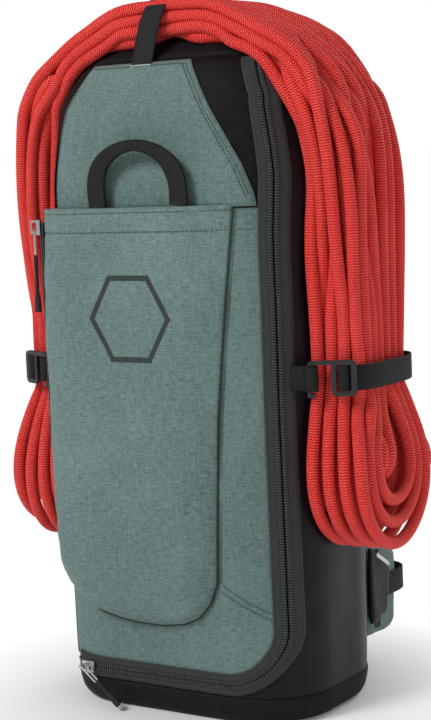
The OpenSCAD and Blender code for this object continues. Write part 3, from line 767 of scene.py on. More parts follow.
def relax(p, rounds):
    """Strands apart, length kept, bends opened, off the bag and inside the space of the CAD rope."""
    n = len(p)
    p = p.copy()
    rest = np.linalg.norm(np.diff(p, axis=0), axis=1)
    home = p.copy()
    hold = np.zeros(n)
    hold[np.abs(p[:, 2] - STRAP_Z) < 12] = 0.5
    hold[(np.abs(p[:, 0]) < 14) & (p[:, 2] > 500)] = 0.35
    run_hi = np.array([(170, 0), (177, 60), (179, 205), (167, 246), (161, 275), (161, 300), (163, 440)], float)
    pairs = None
    for it in range(rounds):
        if it % 8 == 0:
            tree = KDTree(n)
            for i, v in enumerate(p):
                tree.insert(v, i)
            tree.balance()
            found = [(i, j) for i in range(n) for _, j, _ in tree.find_range(p[i], 15.0) if j > i + 4]
            pairs = np.array(found)
        d = p[pairs[:, 0]] - p[pairs[:, 1]]
        size = np.linalg.norm(d, axis=1)
        near = size < 10.1
        i, j = pairs[near, 0], pairs[near, 1]
        push = d[near] / np.maximum(size[near], 1e-3)[:, None] * ((10.1 - size[near]) * 0.5)[:, None]
        move = np.zeros_like(p)
        for c in range(3):
            move[:, c] = np.bincount(i, push[:, c], n) - np.bincount(j, push[:, c], n)
        count = np.bincount(i, minlength=n) + np.bincount(j, minlength=n)
        p += move / np.maximum(count, 1)[:, None] * 1.15
        for k, least in ((3, 38.0), (2, 28.5)):
            d = p[2 * k:] - p[:-2 * k]
            size = np.linalg.norm(d, axis=1)
            lack = np.maximum(least - size, 0) * 0.25
            push = d / np.maximum(size, 1e-3)[:, None] * lack[:, None]
            p[2 * k:] += push * 0.5
            p[:-2 * k] -= push * 0.5
        middle = (p[:-2] + p[2:]) / 2
        p[1:-1] += (middle - p[1:-1]) * 0.12
        for start in (0, 1):
            a, b = p[start:-1:2], p[start + 1::2]
            m = min(len(a), len(b))
            d = b[:m] - a[:m]
            size = np.linalg.norm(d, axis=1)
            fix = d / size[:, None] * ((size - rest[start::2][:m]) * 0.5)[:, None]
            p[start:-1:2][:m] += fix
            p[start + 1::2][:m] -= fix
        p += (home - p) * hold[:, None]
        p = push_off_bag(p, 5.6)
        side = np.abs(p[:, 0])
        limit = np.interp(p[:, 2], run_hi[:, 1], run_hi[:, 0]) - 4.0
        low = p[:, 2] < 440
        p[:, 0] = np.where(low & (side > limit), np.sign(p[:, 0]) * limit, p[:, 0])
        for (x0, z0), (x1, z1) in zip(ENVELOPE[1:-1], ENVELOPE[2:]):
            nx, nz = z1 - z0, x0 - x1
            ln = math.hypot(nx, nz)
            nx, nz = nx / ln, nz / ln
            over = (np.abs(p[:, 0]) - x0) * nx + (p[:, 2] - z0) * nz + 4.5
            over = np.where((p[:, 2] > 440) & (over > 0), over, 0)
            p[:, 0] -= np.sign(p[:, 0]) * nx * over
            p[:, 2] -= nz * over
        hook_y = -0.4067 * (np.abs(p[:, 0]) - 112.5) + 0.9135 * (p[:, 1] + 62)
        lack = np.where((p[:, 2] > 250) & (p[:, 2] < 322), np.maximum(12.2 - hook_y, 0), 0)
        p[:, 0] -= np.sign(p[:, 0]) * 0.4067 * lack
        p[:, 1] += 0.9135 * lack
        front = np.where(p[:, 2] < 250, -56.0, -47.5)
        rear = np.where(p[:, 2] < 250, 66.0, np.where(p[:, 2] < 480, 44.0, 52.0))
        p[:, 1] = np.clip(p[:, 1], front, rear)
        p[:, 2] = np.maximum(p[:, 2], 128.5)
    return p


rope = relax(rope, 160)
centre = smooth_line(rope[::2], 6.6)
rope_obj = tube_mesh("climbing_rope", centre, ROPE_D / 2, sides=11)
print("rope triangles:", sum(len(q.vertices) - 2 for q in rope_obj.data.polygons))

# %% [markdown]
# ## Cloth shell of the bag
# The bag could be one lofted body with paint for its panels, but panels that are separate shells give
# real seams, real edges and an inside. Each panel is a grid over places and heights, cut to its outline
# by dropping the squares outside it; the ragged cut always hides under a zip tape or a seam strip.


# %% Panels
def patch(name, uu, zz, off, thick, keep=None, wrap=False, extra=None):
    """A cloth panel over a grid of places and heights, off mm outside the tube and thick mm deep."""
    outer = tube(uu, zz, off) if extra is None else extra(0.0)
    inner = tube(uu, zz, off - thick) if extra is None else extra(thick)
    n, m = outer.shape[:2]
    quads = grid_faces(n, m, wrap=wrap)
    if keep is not None:
        c = keep.reshape(-1)
        quads = quads[c[quads].all(1)]
    edges = np.concatenate([quads[:, [k, (k + 1) % 4]] for k in range(4)])
    key = np.sort(edges, 1)
    code = key[:, 0].astype(np.int64) * (n * m) + key[:, 1]
    _, first_at, counts = np.unique(code, return_index=True, return_counts=True)
    rim = edges[first_at[counts == 1]]
    nm = n * m
    faces = np.concatenate([quads, quads[:, ::-1] + nm,
                            np.stack([rim[:, 1], rim[:, 0], rim[:, 0] + nm, rim[:, 1] + nm], -1)])
    flat_uv = np.stack(np.broadcast_arrays(uu, zz), -1).reshape(-1, 2)
    flat_uv = np.concatenate([flat_uv, flat_uv])
    pts = np.concatenate([outer.reshape(-1, 3), inner.reshape(-1, 3)])
    used = np.unique(faces)
    index = np.full(len(pts), -1)
    index[used] = np.arange(len(used))
    faces = index[faces]
    obj = make_mesh(name, pts[used], faces, flat_uv[used][faces])
    outward(obj)
    return obj


def edge_x(z):
    """The door's zipped edge as seen from the front, above its rounded corner."""
    return np.interp(z, [32, 430, 490, 523], [103.6, 103.6, 97.1, 81.1])


def door_gap(x, z):
    """How far inside the door's outline a point is, seen from the front; negative outside it."""
    e = edge_x(z)
    inside = np.minimum(np.minimum(e - x, z - 32), 523 - z)
    r = 46.0
    cx, cz = 103.6 - r, 32 + r
    corner = r - np.hypot(x - cx, z - cz)
    return np.where((x > cx) & (z < cz), corner, inside)


def front_x(u, z):
    """X of a place on the front half."""
    return outline(u, z)[0][..., 0]


DOOR_LEFT = -120.0
us = np.append(np.arange(-246.5, 244, 4.3), 246.5)
zs = np.concatenate([np.arange(19, 452, 4.5), [452.5]])
UU, ZZ = np.meshgrid(us, zs)
inset = door_gap(front_x(UU, ZZ), ZZ)
is_front = np.abs(UU) < 160
open_for_door = is_front & (inset > -4.5) & (UU > DOOR_LEFT - 0.5) & (UU < 157)
sag = 1.2 * waves(UU, ZZ, 150.0, 11) * np.clip((ZZ - 20) / 30, 0, 1) * np.clip((452 - ZZ) / 20, 0, 1)
sag += (0.9 * np.sin((ZZ + 0.4 * UU) / 17.0) * np.exp(-((ZZ - 300) / 120) ** 2)
        * np.exp(-((np.abs(UU) - 150) / 40) ** 2))
body_cloth = patch("body_cloth", UU, ZZ, sag, 2.6, ~open_for_door)
dress(body_cloth, "coated", "pack", "coated_black", "side_panel_right", "side_panel_left", "front_sill")

# crown, closed over the top
us_c = np.linspace(-350.8, 350.8, 170, endpoint=False)
zs_c = np.concatenate([np.arange(451.5, 536, 4.2), [537, 540]])
UC, ZC = np.meshgrid(us_c, zs_c)
inset_c = door_gap(front_x(UC, ZC), ZC)
open_c = (np.abs(UC) < 160) & (inset_c > -3.0) & (UC > DOOR_LEFT - 0.5) & (ZC < 520)


def crown_points(deep):
    """The crown's rows, then shrinking rings that close it flat at the top."""
    off = 0.8 * waves(UC, ZC, 90.0, 5) * np.clip((ZC - 451) / 12, 0, 1)
    rows = tube(UC, ZC, off - deep)
    last = rows[-1]
    rings = []
    for k, share in enumerate((0.8, 0.55, 0.3, 0.02)):
        ring = last.copy()
        ring[:, :2] *= share
        ring[:, 2] = 540.6 + 0.5 * k - deep
        rings.append(ring)
    return np.concatenate([rows, np.stack(rings)])


grow = np.repeat(ZC[-1:], 4, 0) + np.arange(1, 5)[:, None] * 9
crown = patch("crown_cloth", np.concatenate([UC, np.repeat(UC[-1:], 4, 0)]), np.concatenate([ZC, grow]), 0, 2.6,
              np.concatenate([~open_c, np.ones_like(grow, bool)]), wrap=True, extra=crown_points)
dress(crown, "matte_black", "pack", "matte_black", "top_cap")


def wrap_u(u):
    """Places past the middle of the back, counted from the other side."""
    return np.where(u > 350.8, u - 701.6, u)


ub = np.append(np.arange(263.5, 434, 5.0), 701.6 - 263.5)
UB, ZB = np.meshgrid(ub, zs)
pillow = 1.5 * waves(UB, ZB, 120.0, 3) * np.clip((ZB - 20) / 30, 0, 1)
back_cloth = patch("back_cloth", wrap_u(UB), ZB, pillow, 2.6)
dress(back_cloth, "mesh", "pack", "padding", "back_panel")
for side, tag in ((1, "right"), (-1, "left")):
    ust = side * np.linspace(246.0, 264.0, 6)
    US, ZS = np.meshgrid(ust, zs)
    strip = patch("rear_strip_cloth_" + tag, US, ZS, 0.7 + 0.8 * np.cos((np.abs(US) - 255) / 9 * 1.5), 2.6)
    dress(strip, "ripstop", "pack", "ripstop", "rear_strip_" + tag)

# base: one cup of heavy cloth with its padded floor
ur = np.linspace(-350.8, 350.8, 150, endpoint=False)
rows = []
for z, off, share in ((8, -3.2, 0.02), (8, -3.2, 0.6), (8.2, -3.2, 0.97), (9, -3.0, 1), (21, -3.0, 1),
                      (21.8, -1.5, 1), (21.4, 0.6, 1), (19.5, 1.0, 1), (13, 0.9, 1), (7, 0.5, 1), (3, -0.6, 1),
                      (1.0, -2.6, 1), (0.0, -7.0, 1), (0.0, -12.0, 0.96), (0.0, -12, 0.6), (0.0, -12, 0.02)):
    p = tube(ur, np.full_like(ur, z), off)
    p[:, :2] *= share
    p[:, 2] = z
    rows.append(p)
cup = np.stack(rows)
cup_faces = grid_faces(len(rows), len(ur), wrap=True)
cup_uv = np.stack([np.broadcast_to(ur, (len(rows), len(ur))),
                   np.cumsum([0, 30, 30, 4, 12, 2, 2, 2, 6, 6, 4, 3, 5, 6, 30, 30])[:, None]
                   + np.zeros((1, len(ur)))], -1).reshape(-1, 2)
base = make_mesh("base_cloth", cup, cup_faces, cup_uv[cup_faces])
for row, turn in ((0, 1), (len(rows) - 1, -1)):
    k = np.arange(len(ur)) + row * len(ur)
    add_triangles(base, [(k[0], k[i + 1], k[i]) if turn > 0 else (k[0], k[i], k[i + 1])
                         for i in range(1, len(ur) - 1)])
outward(base)
dress(base, "base", "pack", "base_fabric", "base_rim", "base_floor")
print("shell panels made")

# %% [markdown]
# ## Door, flap and pocket
# The door is the same tube cut at its own outline. The flap and the pocket are grids stretched between
# four edge lines, so that their hems follow straight cut lines. The pocket stands off the door by a
# height that depends on the place round the bag, and rounds down to it at the bottom.

# %% Door
ud = np.concatenate([[DOOR_LEFT + 0.7], np.arange(-117, 112, 4.0)])
zd = np.concatenate([[32.8], np.arange(36, 520, 4.4), [522.5]])
UD, ZD = np.meshgrid(ud, zd)
inset_d = door_gap(front_x(UD, ZD), ZD)
keep_d = inset_d > 3.2
keep_d |= (ZD < 36) & (front_x(UD, ZD) < 56)
keep_d |= (ZD > 519) & (inset_d > -1) & (front_x(UD, ZD) < 79)
ruffle = 0.9 * waves(UD, ZD, 110.0, 21) * np.clip(inset_d / 20, 0, 1)
fold = np.clip((ZD - 390) / 50, 0, 1) * np.clip((515 - ZD) / 15, 0, 1) * np.clip(inset_d / 10, 0, 1)
ruffle += 1.9 * waves(UD, ZD * 2.2, 34.0, 23) * fold * np.clip((UD - 40) / 30, 0, 1)
door = patch("door_cloth", UD, ZD, ruffle, 2.6, keep_d)
dress(door, "ripstop", "door", "ripstop", "door_panel")
door.data.materials.append(M["matte_black"])
door.data.materials.append(M["lining"])
nrm = np.array([p.normal[:] for p in door.data.polygons])
ctr = np.array([p.center[:] for p in door.data.polygons])
inward = (nrm[:, 0] * ctr[:, 0] + nrm[:, 1] * ctr[:, 1]) < 0
look = np.where(inward, 2, np.where(ctr[:, 2] > 0.4055, 1, 0))
door.data.polygons.foreach_set("material_index", look.astype(np.int32))


def coons(bottom, top, left, right, n, m):
    """A grid between four lines that share corners; rows run bottom to top."""
    def at(line, k):
        line = np.asarray(line, float)
        s = np.concatenate([[0], np.cumsum(np.linalg.norm(np.diff(line, axis=0), axis=1))])
        t = np.linspace(0, s[-1], k)
        return np.stack([np.interp(t, s, line[:, c]) for c in (0, 1)], -1)
    b, t, le, ri = at(bottom, m), at(top, m), at(left, n), at(right, n)
    v, u = np.linspace(0, 1, n)[:, None, None], np.linspace(0, 1, m)[None, :, None]
    corners = ((1 - u) * (1 - v) * b[0] + u * (1 - v) * b[-1] + (1 - u) * v * t[0] + u * v * t[-1])
    return (1 - v) * b[None] + v * t[None] + (1 - u) * le[:, None] + u * ri[:, None] - corners


def to_place(points):
    """Points (x, z) seen from the front as (place, height)."""
    p = np.asarray(points, float)
    return np.stack([place_of(p[:, 0], p[:, 1]), p[:, 1]], -1)


def line_of(points):
    """A polyline given as (x, z) from the front, as evenly spaced (place, height) points."""
    p = np.asarray(points, float)
    q = []
    for a, b in zip(p[:-1], p[1:]):
        k = max(2, int(np.hypot(*(b - a)) / 4.0))
        q.append(a + (b - a) * np.linspace(0, 1, k, endpoint=False)[:, None])
    return to_place(np.concatenate(q + [p[-1:]]))


FLAP_LEFT = [(-95, 407), (-94.5, 425), (-93, 445), (-89, 468), (-83, 485), (-72, 502), (-60, 520)]
FLAP_RIGHT = [(94.5, 407), (93.2, 418), (85, 440), (69.5, 467), (52.5, 494), (34, 520)]
flap_grid = coons(line_of([FLAP_LEFT[0], FLAP_RIGHT[0]]), line_of([FLAP_LEFT[-1], FLAP_RIGHT[-1]]),
                  line_of(FLAP_LEFT), line_of(FLAP_RIGHT), 30, 44)
FU, FZ = flap_grid[..., 0], flap_grid[..., 1]
ei, ej = np.meshgrid(np.linspace(0, 1, 30), np.linspace(0, 1, 44), indexing="ij")
edge = np.minimum(np.minimum(ej, 1 - ej) * 150, (1 - ei) * 110)
f_off = 2.4 + 0.7 * waves(FU, FZ, 80.0, 31) * np.clip(edge / 20, 0, 1)
f_off += 0.5 * np.exp(-((edge - 2) / 2.5) ** 2) - 0.9 * np.clip(1 - edge / 2, 0, 1)
flap = patch("flap_cloth", FU, FZ, f_off, 1.5)
dress(flap, "ripstop", "door", "ripstop", "front_flap")

# %% Pocket
LIFT_U = [-119, -112, -108.5, -105.7, -103.2, -100, -95, -88, -78, 30, 44, 52, 60, 70, 80, 92, 100]
LIFT = [1.2, 1.4, 2.8, 5.4, 9.6, 13.0, 15.8, 17.4, 18.0, 17.6, 14.8, 11.8, 8.4, 5.4, 3.8, 2.4, 1.6]
SEAM = [(53, 113), (55, 152), (61, 246), (71, 338), (79, 407.5)]
BOTTOM = [(-110, 102), (-95, 98), (-80, 91), (-61, 80), (-40, 75.5), (-21, 74), (0, 74), (20, 77), (34, 83),
          (46, 96), (53, 113)]
left_u = -118.5
bottom = line_of(BOTTOM)
bottom = np.concatenate([[[left_u, 105.0]], bottom[bottom[:, 0] > -112]])
top = np.array([[left_u, 407.5], [place_of(SEAM[-1][0], 407.5), 407.5]])
pocket_grid = coons(bottom, top, [[left_u, 105.0], [left_u, 407.5]], line_of(SEAM), 84, 64)
PU, PZ = pocket_grid[..., 0], pocket_grid[..., 1]
bottom_z = np.interp(PU, bottom[:, 0], bottom[:, 1])
rise = np.clip((PZ - bottom_z) / 46, 0, 1)
round_up = np.sqrt(np.clip(1 - (1 - rise) ** 2, 0, 1))
seam_u = np.interp(PZ, [113, 152, 246, 338, 407.5], [place_of(x, z) for x, z in SEAM])
from_seam = np.clip((seam_u - PU) / 26, 0, 1)
round_side = np.sqrt(np.clip(1 - (1 - from_seam) ** 2, 0, 1))
round_side = np.where(PZ < 112, 1, round_side)
lift = 1.4 + (np.interp(PU, LIFT_U, LIFT) - 1.4) * round_up * round_side
lift *= 1 - 0.12 * np.exp(-((PZ - 408) / 16) ** 2)
body_of_it = round_up * round_side * np.clip((404 - PZ) / 25, 0, 1) * np.clip((PU + 112) / 20, 0, 1)
crease = 1.6 * waves(PU, PZ, 105.0, 41) + 1.5 * waves(PU * 0.35, PZ, 34.0, 42) * np.exp(-((PZ - 120) / 60) ** 2)
crease += 1.3 * waves(PU, PZ * 0.3, 40.0, 43) * np.exp(-((PZ - 390) / 30) ** 2)
lift += crease * body_of_it
hem = np.exp(-((PZ - 389.5) / 1.6) ** 2) * 0.9
lift -= hem * round_side
PUx = np.concatenate([PU, PU[-1:], PU[-1:], PU[-1:], PU[-1:]])
PZx = np.concatenate([PZ, PZ[-1:] + 0.7, PZ[-1:] + 1.0, PZ[-1:] + 1.1, PZ[-1:] + 1.2])
Lx = np.concatenate([lift, lift[-1:] * 0.94, lift[-1:] * 0.75, lift[-1:] * 0.4, np.minimum(lift[-1:] * 0.2, 3.2)])
pocket = patch("pocket_cloth", PUx, PZx, Lx, 1.3)
dress(pocket, "pocket", "door", "ripstop", "front_pocket", "printed_emblem")


def pocket_lift(u, z):
    """Height of the pocket's cloth off the tube at a place, from its grid."""
    d = (PU - u) ** 2 + (PZ - z) ** 2
    return float(lift.ravel()[np.argmin(d)])


print("door, flap and pocket made")

# %% [markdown]
# ## Zips
# Real coil zips are two tapes with a monofilament spiral on each. The tapes are thin strips along the
# door's outline; the coils are small rounded links repeated along the same line by Geometry Nodes, one
# row for the bag's side and one for the door's, so that the zip really parts when the door opens.


# %% Repeating with Geometry Nodes
def stamp_tree():
    """Puts a small rounded or square link on every point, turned by its along and out attributes."""
    tree = bpy.data.node_groups.new("stamp", "GeometryNodeTree")
    for n, kind in (("Points", "NodeSocketGeometry"), ("Size", "NodeSocketVector"), ("Square", "NodeSocketBool"),
                    ("Material", "NodeSocketMaterial")):
        tree.interface.new_socket(n, in_out="INPUT", socket_type=kind)
    tree.interface.new_socket("Geometry", in_out="OUTPUT", socket_type="NodeSocketGeometry")
    g = Nodes(tree)
    i, o = g.add("NodeGroupInput").outputs, g.add("NodeGroupOutput")
    cloud = g.add("GeometryNodeMeshToPoints", {0: i["Points"]}).outputs[0]
    named = []
    for n in ("along", "out"):
        node = g.add("GeometryNodeInputNamedAttribute", data_type="FLOAT_VECTOR")
        node.inputs["Name"].default_value = n
        named.append(node.outputs[0])
    turn = g.add("FunctionNodeAlignRotationToVector", {"Vector": named[0]}, axis="X").outputs[0]
    turn = g.add("FunctionNodeAlignRotationToVector", {"Rotation": turn, "Vector": named[1]}, axis="Z",
                 pivot_axis="X").outputs[0]
    ball = g.add("GeometryNodeMeshUVSphere", {"Segments": 7, "Rings": 5, "Radius": 0.5}).outputs[0]
    ball = g.add("GeometryNodeSetShadeSmooth", {0: ball}).outputs[0]
    brick = g.add("GeometryNodeMeshCube").outputs[0]
    link = g.add("GeometryNodeSwitch", {0: i["Square"], 1: ball, 2: brick}, input_type="GEOMETRY").outputs[0]
    many = g.add("GeometryNodeInstanceOnPoints", {"Points": cloud, "Instance": link, "Rotation": turn,
                                                  "Scale": i["Size"]}).outputs[0]
    real = g.add("GeometryNodeRealizeInstances", {0: many}).outputs[0]
    final = g.add("GeometryNodeSetMaterial", {0: real, "Material": i["Material"]}).outputs[0]
    g.set(o.inputs[0], final)
    return tree


STAMP = stamp_tree()


def stamp(name, places, along, out, size, key, square=False):
    """Repeats one link at millimetre places; size is its length, width and height."""
    mesh = bpy.data.meshes.new(name + "_points")
    mesh.from_pydata([tuple(v) for v in np.asarray(places) / 1000], [], [])
    for n, values in (("along", along), ("out", out)):
        att = mesh.attributes.new(n, "FLOAT_VECTOR", "POINT")
        att.data.foreach_set("vector", np.asarray(values, np.float32).ravel())
    source = bpy.data.objects.new(name + "_source", mesh)
    scene.collection.objects.link(source)
    mod = source.modifiers.new("stamp", "NODES")
    mod.node_group = STAMP
    ids = {s.name: s.identifier for s in STAMP.interface.items_tree if s.in_out == "INPUT"}
    mod[ids["Size"]] = [v / 1000 for v in size]
    mod[ids["Square"]] = square
    mod[ids["Material"]] = M[key]
    bpy.context.view_layer.update()
    made = bpy.data.meshes.new_from_object(source.evaluated_get(bpy.context.evaluated_depsgraph_get()))
    bpy.data.objects.remove(source)
    obj = bpy.data.objects.new(name, made)
    scene.collection.objects.link(obj)
    made.materials.clear()
    made.materials.append(M[key])
    return obj


def surface_line(places, off, step):
    """Evenly spaced points on the bag under a line of (place, height), with its direction and normal."""
    q = np.asarray(places, float)
    p = tube(q[:, 0], q[:, 1], 0.0 if np.ndim(off) else off)
    s = np.concatenate([[0], np.cumsum(np.linalg.norm(np.diff(p, axis=0), axis=1))])
    t = np.arange(step / 2, s[-1], step)
    qq = np.stack([np.interp(t, s, q[:, c]) for c in (0, 1)], -1)
    o = np.interp(t, s, off) if np.ndim(off) else off
    pts = tube(qq[:, 0], qq[:, 1], o)
    along = np.gradient(pts, axis=0)
    along /= np.linalg.norm(along, axis=1)[:, None]
    out = tube(qq[:, 0], qq[:, 1], np.asarray(o) + 1) - pts
    return pts, along, out


# %% Main zip
def zip_line(shift):
    """The door's outline, top right to bottom left, moved outwards by shift, as (place, height)."""
    pts = []
    for z in np.arange(519, 78, -4.0):
        wob = 1.3 * math.sin(z / 21.0) * np.clip((z - 320) / 160, 0, 1)
        pts.append((edge_x(z) + shift + wob, z))
    r, cx, cz = 46.0 + shift, 103.6 - 46, 78.0
    for a in np.linspace(0, math.pi / 2, 22):
        pts.append((cx + r * math.cos(a), cz - r * math.sin(a)))
    for x in np.arange(54, -97, -4.0):
        pts.append((x, 32 - shift))
    p = np.array(pts)
    return np.stack([place_of(p[:, 0], p[:, 1]), p[:, 1]], -1)


for side, body, rows, tag in ((1, "pack", (0.35, 2.4, 4.8, 7.0, 8.6), "body"),
                              (-1, "door", (-8.6, -7.0, -4.8, -2.4, -0.35), "door")):
    grid = np.stack([zip_line(w) for w in rows], 1)
    high = np.interp(np.abs(rows), [0, 2.4, 7, 8.6], [2.2, 2.1, 1.9, 1.5])
    tape = patch("zip_tape_" + tag, grid[..., 0], grid[..., 1], np.broadcast_to(high, grid.shape[:2]), 0.9)
    dress(tape, "zip_tape", body, "zip_tape", tag + "_zip_tape")
    pts, along, out = surface_line(zip_line(1.75 * side), 2.9, 2.15)
    if side > 0:
        pts, along, out = (v[:-1] for v in (pts + along * 1.07, along, out))
    coil = stamp("zip_coil_" + tag, pts, along, out, (1.75, 4.2, 1.7), "teeth")
    dress(coil, "teeth", body, "zip_tape")
    pts, along, out = surface_line(zip_line(7.4 * side), 2.1, 3.4)
    seam = stamp("zip_stitches_" + tag, pts, along, out, (2.5, 0.5, 0.45), "thread_dark")
    dress(seam, "thread_dark", body, "zip_tape")

# pocket zip, on the rounded left wall of the pocket
ang = np.radians(np.linspace(213 - 25, 213 + 25, 7))
zz_p = np.arange(212, 403, 6.0)
A, Z = np.meshgrid(ang, zz_p)


def wall(r, a, z):
    """A point of the pocket's rounded left wall, by its radius, angle and height."""
    return np.stack([-92 + r * np.cos(a), -74 + r * np.sin(a), z], -1)


tape = sheet_mesh("pocket_tape", wall(15.1, A, Z), wall(14.2, A, Z))
dress(tape, "zip_tape", "door", "zip_tape", "pocket_zip_tape")
zt = np.arange(213, 400, 2.0)
for k, da in ((0, 6.4), (1, -6.4)):
    a = np.radians(np.full_like(zt, 213 + da))
    coil = stamp("pocket_coil_%d" % k, wall(15.7, a, zt + k), np.tile([0, 0, 1.0], (len(zt), 1)),
                 wall(1.0, a, zt) - wall(0.0, a, zt), (1.6, 2.6, 1.5), "teeth")
    dress(coil, "teeth", "door", "zip_tape")
print("zips made")

# %% [markdown]
# ## Webbing
# Every strap is a flat band swept along its own line, with woven ribs across it. Where the CAD has a
# plain bar, the strap is laid as it is really threaded: through the hook frame's two slots, round the
# hook's loop, over the rope.


# %% Webbing
def strap(name, path, across, width, thick, step=3.0, widths=None):
    """A flat band along a path; across is the direction of its width."""
    p = smooth_line(path, step)
    n = len(p)
    t = np.gradient(p, axis=0)
    t /= np.linalg.norm(t, axis=1)[:, None]
    w = np.broadcast_to(np.asarray(across, float), p.shape)
    w = w - t * (w * t).sum(1)[:, None]
    w /= np.linalg.norm(w, axis=1)[:, None]
    nn = np.cross(t, w)
    half, th = width / 2, thick / 2
    e = min(0.5, th * 0.8)
    ring = np.array([(-half, -th + e), (-half + e, -th), (-half / 3, -th), (half / 3, -th), (half - e, -th),
                     (half, -th + e), (half, th - e), (half - e, th), (half / 3, th), (-half / 3, th),
                     (-half + e, th), (-half, th - e)])
    k = np.ones(n) if widths is None else np.interp(np.linspace(0, 1, n), np.linspace(0, 1, len(widths)), widths)
    deep = np.ones(n) if widths is None else 1 / k ** 1.3
    pts = p[:, None] + ring[None, :, :1] * w[:, None] * k[:, None, None] \
        + ring[None, :, 1:] * nn[:, None] * deep[:, None, None]
    m = len(ring)
    faces = grid_faces(n, m, wrap=True)
    s = np.concatenate([[0], np.cumsum(np.linalg.norm(np.diff(p, axis=0), axis=1))])
    uv = np.stack([np.broadcast_to(ring[:, 0], (n, m)), np.broadcast_to(s[:, None], (n, m))], -1).reshape(-1, 2)
    obj = make_mesh(name, pts, faces, uv[faces])
    end = (n - 1) * m
    add_triangles(obj, [(0, j, j + 1) for j in range(1, m - 1)]
                  + [(end, end + j + 1, end + j) for j in range(1, m - 1)])
    outward(obj)
    return obj


def hook_plan(x, y, side=1):
    """A plan point given along and across the hook's line."""
    return side * (112.5 + 0.9135 * x - 0.4067 * y), -62 + 0.4067 * x + 0.9135 * y


UPRIGHT = (0, 0, 1)
for side, tag, root in ((1, "right", (0.4, 6.0)), (-1, "left", (5.2, 9.8))):
    c, r0 = np.array([17.5, 0.0]), np.array(root)
    d = (c - r0) / np.linalg.norm(c - r0)
    nrm2 = np.array([-d[1], d[0]])
    path = [r0 + 0.95 * nrm2, (r0 + c) / 2 + 0.95 * nrm2, c - d * 6.2 + 1.2 * nrm2]
    path += [c + 4.75 * (-math.cos(f) * d + math.sin(f) * nrm2) for f in np.radians(np.arange(42, 319, 23))]
    path += [c - d * 6.2 - 1.2 * nrm2, (r0 + c) / 2 - 0.95 * nrm2, r0 - 0.95 * nrm2]
    pts = [(*hook_plan(q[0], q[1], side), STRAP_Z) for q in path]
    stub = strap("hook_anchor_web_" + tag, pts, UPRIGHT, 19.4, 1.4, 1.6)
    dress(stub, "webbing", "pack", "webbing", "hook_anchor_" + tag)
    path = [(37.9, 3.4), (38.0, 0.6), (39.3, -2.3), (42.1, -2.9), (44.9, -2.3), (46.2, 0.6), (48.6, 2.9),
            (52, 3.1)]
    pts = [(*hook_plan(q[0], q[1], side), STRAP_Z) for q in path]
    round_coil = ((163.4, -32), (166.6, -19), (167.6, 0), (167.4, 20), (165, 38), (157, 53), (142, 61.5),
                  (126, 64), (113.5, 61.5))
    pts += [(side * x, y, STRAP_Z) for x, y in round_coil]
    web = strap("side_strap_web_" + tag, pts, UPRIGHT, 19.6, 1.5, 2.4)
    dress(web, "webbing", tag + "_hook", "webbing", "hook_strap_" + tag)

top_path = [(-12, -63.4, 515.5), (-11, -60.6, 526), (-8.5, -57.6, 543), (-6, -53.0, 558), (-4, -43.5, 570.2),
            (-3.4, -26, 574.2), (-5, 4, 574.6), (-8, 33, 574.2), (-8, 51, 570.6), (-8, 60.6, 561),
            (-8, 64.2, 547), (-8, 65.3, 541.5), (-8, 66.4, 533), (-8, 68.0, 526)]
top_web = strap("rope_strap_web", top_path, (1, 0, 0), 19.6, 1.5)
dress(top_web, "webbing", "pack", "webbing", "rope_strap")
anchor_path = [(-8, 73.4, 498), (-8, 71.5, 512), (-8, 69.4, 524), (-8, 67.2, 536), (-8, 68.6, 543)]
anchor_web = strap("rope_strap_anchor_web", anchor_path, (1, 0, 0), 19.6, 1.4)
dress(anchor_web, "webbing", "pack", "webbing", "rope_strap_anchor")

handle_path = [(-39.5, -91, 409.5), (-40.3, -91.4, 421), (-38.8, -92, 433), (-31.5, -92.6, 445), (-17.5, -93, 453.6),
               (-1, -93.2, 456.6), (15, -93, 453.2), (28.6, -92.6, 444.5), (36, -92, 433), (38, -91.4, 421),
               (37.5, -91, 409.5)]


def handle_strap(name, path, width, thick, widths):
    """A grip whose width lies in the upright plane that it bends in."""
    t = np.gradient(smooth_line(path, 3.0), axis=0)
    return strap(name, path, np.cross(t, (0, 1, 0)), width, thick, 3.0, widths)


handle_web = handle_strap("haul_handle_web", handle_path, 17.0, 2.8,
                          [0.95, 0.95, 0.92, 0.72, 0.56, 0.52, 0.56, 0.72, 0.92, 0.95, 0.95])
dress(handle_web, "webbing", "handle", "webbing", "haul_handle")
rear_path = [(-35, 86.5, 456), (-35.3, 88, 470), (-31, 88.5, 481), (-18, 88.8, 488.5), (0, 89, 490.5),
             (18, 88.8, 488.5), (31, 88.5, 481), (35.3, 88, 470), (35, 86.5, 456)]
rear_web = handle_strap("rear_haul_web", rear_path, 15.5, 2.6, [1, 1, 0.9, 0.75, 0.7, 0.75, 0.9, 1, 1])
dress(rear_web, "webbing", "pack", "webbing", "rear_haul_loop")
for side, tag in ((1, "right"), (-1, "left")):
    hang = [(79.8, 30), (82.8, 44), (88, 60), (96.6, 80), (98.6, 112), (100, 150)]
    low = strap("lower_web_" + tag, [(54 * side, y, z) for y, z in hang], (1, 0, 0), 19.6, 1.5)
    dress(low, "webbing", "pack", "webbing", "lower_webbing_" + tag)
    plan = [(98.4, 100), (98.9, 116), (98.8, 134), (96, 146), (88.4, 153.8), (76, 157.8), (62, 158)]
    belt = strap("hip_web_" + tag, [(side * x, y, 74) for x, y in plan], UPRIGHT, 19.6, 1.5)
    dress(belt, "webbing", tag + "_wing", "webbing", "hip_webbing_" + tag)
print("webbing made")

# %% [markdown]
# ## Padding
# Pads are foam in cloth. They could be swelled by a cloth simulation, but these are thin and firm, so
# each starts as its CAD solid, is remeshed finely, smoothed so that its edges round over like sewn foam,
# and given slight unevenness. Corded edges follow in a later cell, because remeshing would remove them.


